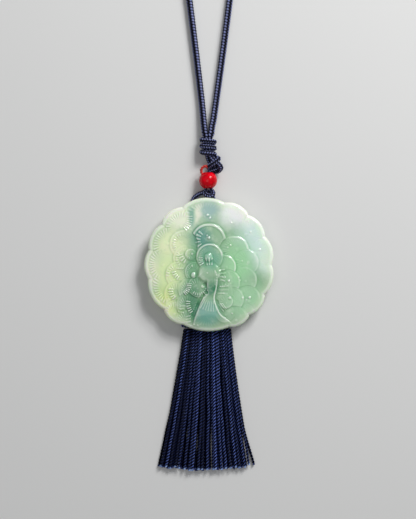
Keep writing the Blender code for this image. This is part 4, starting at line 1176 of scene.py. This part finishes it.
# The tassel's tie
# A thin navy twist that runs through the strands' fold and the jade's lower tunnel, hidden behind the foot.
tie_sizes = {"Width": TIE_WIDTH, "Lay": TIE_LAY, "Plies": PLIES, "Step": 0.00025}
tie_twist = laid("tie_twist", [tie_route], twist, tie_sizes, navy_braid, closed=True)
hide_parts("tassel_tie")
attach(tie_twist, "root")


# The tassel
# Twenty-six lengths of two-ply navy cord, folded over the tie so that fifty-two legs hang below the
# jade, combed into a flat fan and cut at the foot. The legs lie in layers and spread as they go down.
LEGS, LEG_POINTS, LEG_STEPS = 52, 26, 4
LEG_WIDTH, LEG_LAY = 0.00094, 0.0021
TASSEL_LENGTH = 0.0470
TASSEL_FOOT = TIE_Y - TASSEL_LENGTH
TASSEL_TOP_WIDTH, TASSEL_FOOT_WIDTH = 0.0164, 0.0324
TASSEL_FLARE, TASSEL_DRIFT, TASSEL_SAG = 0.75, -0.0009, 0.0016
SPREAD_WILD = 0.006  # how unevenly the legs lie side by side, as a share of the tassel's half width
SWAYS = ((2, 0.00012), (5, 0.00007), (9, 0.00003))  # half waves along a leg, and how far they swing
STRAY_PLACE, STRAY_OUT, STRAY_FROM, STRAY_OVER = 0.97, 0.0013, 0.70, 0.35  # the last leg that stands off
LEG_GAP = 0.0003  # from the tie down to the legs
CUT_SHORTER, CUT_LONGER = 0.0005, 0.0003  # how far a leg's cut end may lie from the foot
# The layer of each leg, from 0 on the floor to the topmost, over and over from left to right
LAYERS = (0.0, 2.4, 1.0, 0.1, 2.1, 0.9, 2.5, 1.1, 0.0, 2.2, 1.0, 2.4, 0.2)
UPPER_LAYER, FOOT_LAYER = 1.5, 1.6  # where the upper legs begin, and how high they still lie at the foot
LEG_Z, LEG_Z_LEAST, TOP_PITCH, FOOT_PITCH = 0.00050, 0.00049, 0.00068, 0.00074
CROWN_EDGE, SINK_OVER = 0.65, 0.55  # how thick the sides are beside the middle, and where the legs have sunk
SWAY_IN, RIPPLE, RIPPLES = 0.2, 0.00006, 14
# The legs' lightness: its mean, the painted light that makes the right side lighter, the random spread from
# leg to leg, and its least and most.
TONE, PAINTED_LIGHT_ACROSS, TONE_WILD, TONE_LEAST, TONE_MOST = 0.66, 0.45, 0.34, 0.18, 1.6
LEG_SEED, PHASE_SEED = 7, 11


def leg_tone(place, random):
    """How light a leg's colour is: lighter towards the right as painted light from the key at the right, and
    different at random from leg to leg.
    """
    return float(np.clip(TONE + PAINTED_LIGHT_ACROSS * place + random.normal(0, TONE_WILD), TONE_LEAST, TONE_MOST))


def leg_line(place, layer, random):
    """One leg of the tassel: its place across from -1 to 1, and its layer from 0, the lowest."""
    high = TIE_Y - TIE_WIDTH / 2 - LEG_GAP
    share = np.linspace(0, 1, LEG_POINTS)
    spread = TASSEL_FLARE * share + (1 - TASSEL_FLARE) * share**2
    inner = (TASSEL_TOP_WIDTH - LEG_WIDTH) / 2
    outer = (TASSEL_FOOT_WIDTH - LEG_WIDTH) / 2
    sway = np.zeros(LEG_POINTS)
    for waves, swing in SWAYS:
        swing = random.normal(0, swing)
        sway = sway + swing * np.sin(math.pi * waves * share + random.uniform(0, 6))
    x = TASSEL_X + TASSEL_DRIFT * share + place * (inner + (outer - inner) * spread)
    x = x + sway * smooth(share / SWAY_IN)
    x = x + STRAY_OUT * smooth((share - STRAY_FROM) / STRAY_OVER) * (place > STRAY_PLACE)
    sag = TASSEL_SAG * (1 - place**2)
    cut = random.uniform(-CUT_SHORTER, CUT_LONGER)
    y = high - (high - TASSEL_FOOT + sag - LEG_GAP + cut) * share
    crown = (1 - abs(place) ** 3) * (1 - CROWN_EDGE) + CROWN_EDGE
    top_z = LEG_Z + layer * TOP_PITCH * crown
    foot_z = LEG_Z + min(layer, FOOT_LAYER) * FOOT_PITCH * crown
    z = top_z + (foot_z - top_z) * smooth(share / SINK_OVER)
    z = z + RIPPLE * np.sin(RIPPLES * share + random.uniform(0, 6))
    return smooth_line(np.stack([x, y, np.maximum(z, LEG_Z_LEAST)], -1), LEG_STEPS)


def tassel_legs():
    """All the legs, sorted into the lower and the upper ones."""
    random = np.random.default_rng(LEG_SEED)
    lower, upper = [], []
    for i in range(LEGS):
        place = -1 + 2 * (i + 0.5) / LEGS + random.normal(0, SPREAD_WILD)
        layer = LAYERS[i % len(LAYERS)]
        leg = leg_line(float(np.clip(place, -1, 1)), layer, random)
        (lower if layer < UPPER_LAYER else upper).append((leg, leg_tone(place, random)))
    return lower, upper


# Both finishes paint a highlight on the plies' backs and shade between them; the under legs' finish is a much
# darker copy, painted shade for lying under the upper legs.
leg_sheen = (0.45, 0.52, 1.0)
navy_twist = thread_finish("navy_twist", (0.001, 0.001, 0.004), (0.16, 0.24, 0.72), leg_sheen, 0.93, 0.08)
shaded_under_twist = thread_finish("shaded_under_twist", (0.000, 0.000, 0.002), (0.014, 0.024, 0.10), leg_sheen, 0.93, 0.03)
leg_sizes = {"Width": LEG_WIDTH, "Lay": LEG_LAY, "Plies": PLIES, "Step": 0.00023}
phases = np.random.default_rng(PHASE_SEED)
names, finishes = ("tassel_under_strands", "tassel_upper_strands"), (shaded_under_twist, navy_twist)
for name, legs, finish in zip(names, tassel_legs(), finishes):
    phase = np.concatenate([np.full(len(leg), phases.uniform()) for leg, _ in legs])
    tones = np.concatenate([np.full(len(leg), tone) for leg, tone in legs])
    strands = laid(name, [leg for leg, _ in legs], twist, leg_sizes, finish, phase=phase, tone=tones)
    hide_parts("tassel_skirt")
    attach(strands, "root")


# The floor
# A plain pale table top under the charm.
FLOOR_HALF, FLOOR_Z = 2, -0.0001

floor_corners = [(x * FLOOR_HALF, y * FLOOR_HALF, FLOOR_Z) for x, y in ((-1, -1), (1, -1), (1, 1), (-1, 1))]
floor_mesh = bpy.data.meshes.new("floor")
floor_mesh.from_pydata(floor_corners, [], [(0, 1, 2, 3)])
floor_finish, floor_nodes = new_material("floor")
floor_nodes.surface({"Base Color": (0.72, 0.72, 0.71, 1), "Roughness": 0.8})
floor_mesh.materials.append(floor_finish)
floor = in_scene("floor", floor_mesh)


# The light
# A soft key from the top and a little from the right, a weak fill overhead, and a pale room all round.
def area_light(name, place, size, power):
    """A square light that faces the origin."""
    data = bpy.data.lights.new(name, "AREA")
    data.shape = "SQUARE"
    data.size = size
    data.energy = power
    light = in_scene(name, data)
    light.location = place
    tilt = math.acos(place[2] / math.dist(place, (0, 0, 0)))
    light.rotation_euler = (tilt, 0, math.atan2(place[1], place[0]) + math.pi / 2)


area_light("key", (0.30, 0.44, 0.42), 0.28, 3.5)
area_light("spark", (0.22, 0.46, 0.40), 0.05, 0.5)
area_light("fill", (-0.15, -0.05, 0.75), 0.5, 0.8)
world = bpy.data.worlds.new("room")
world.use_nodes = True
room = world.node_tree.nodes["Background"]
room.inputs["Color"].default_value = (0.94, 0.96, 1.0, 1)
room.inputs["Strength"].default_value = 0.20
bpy.context.scene.world = world
bpy.context.scene.view_settings.view_transform = "Standard"
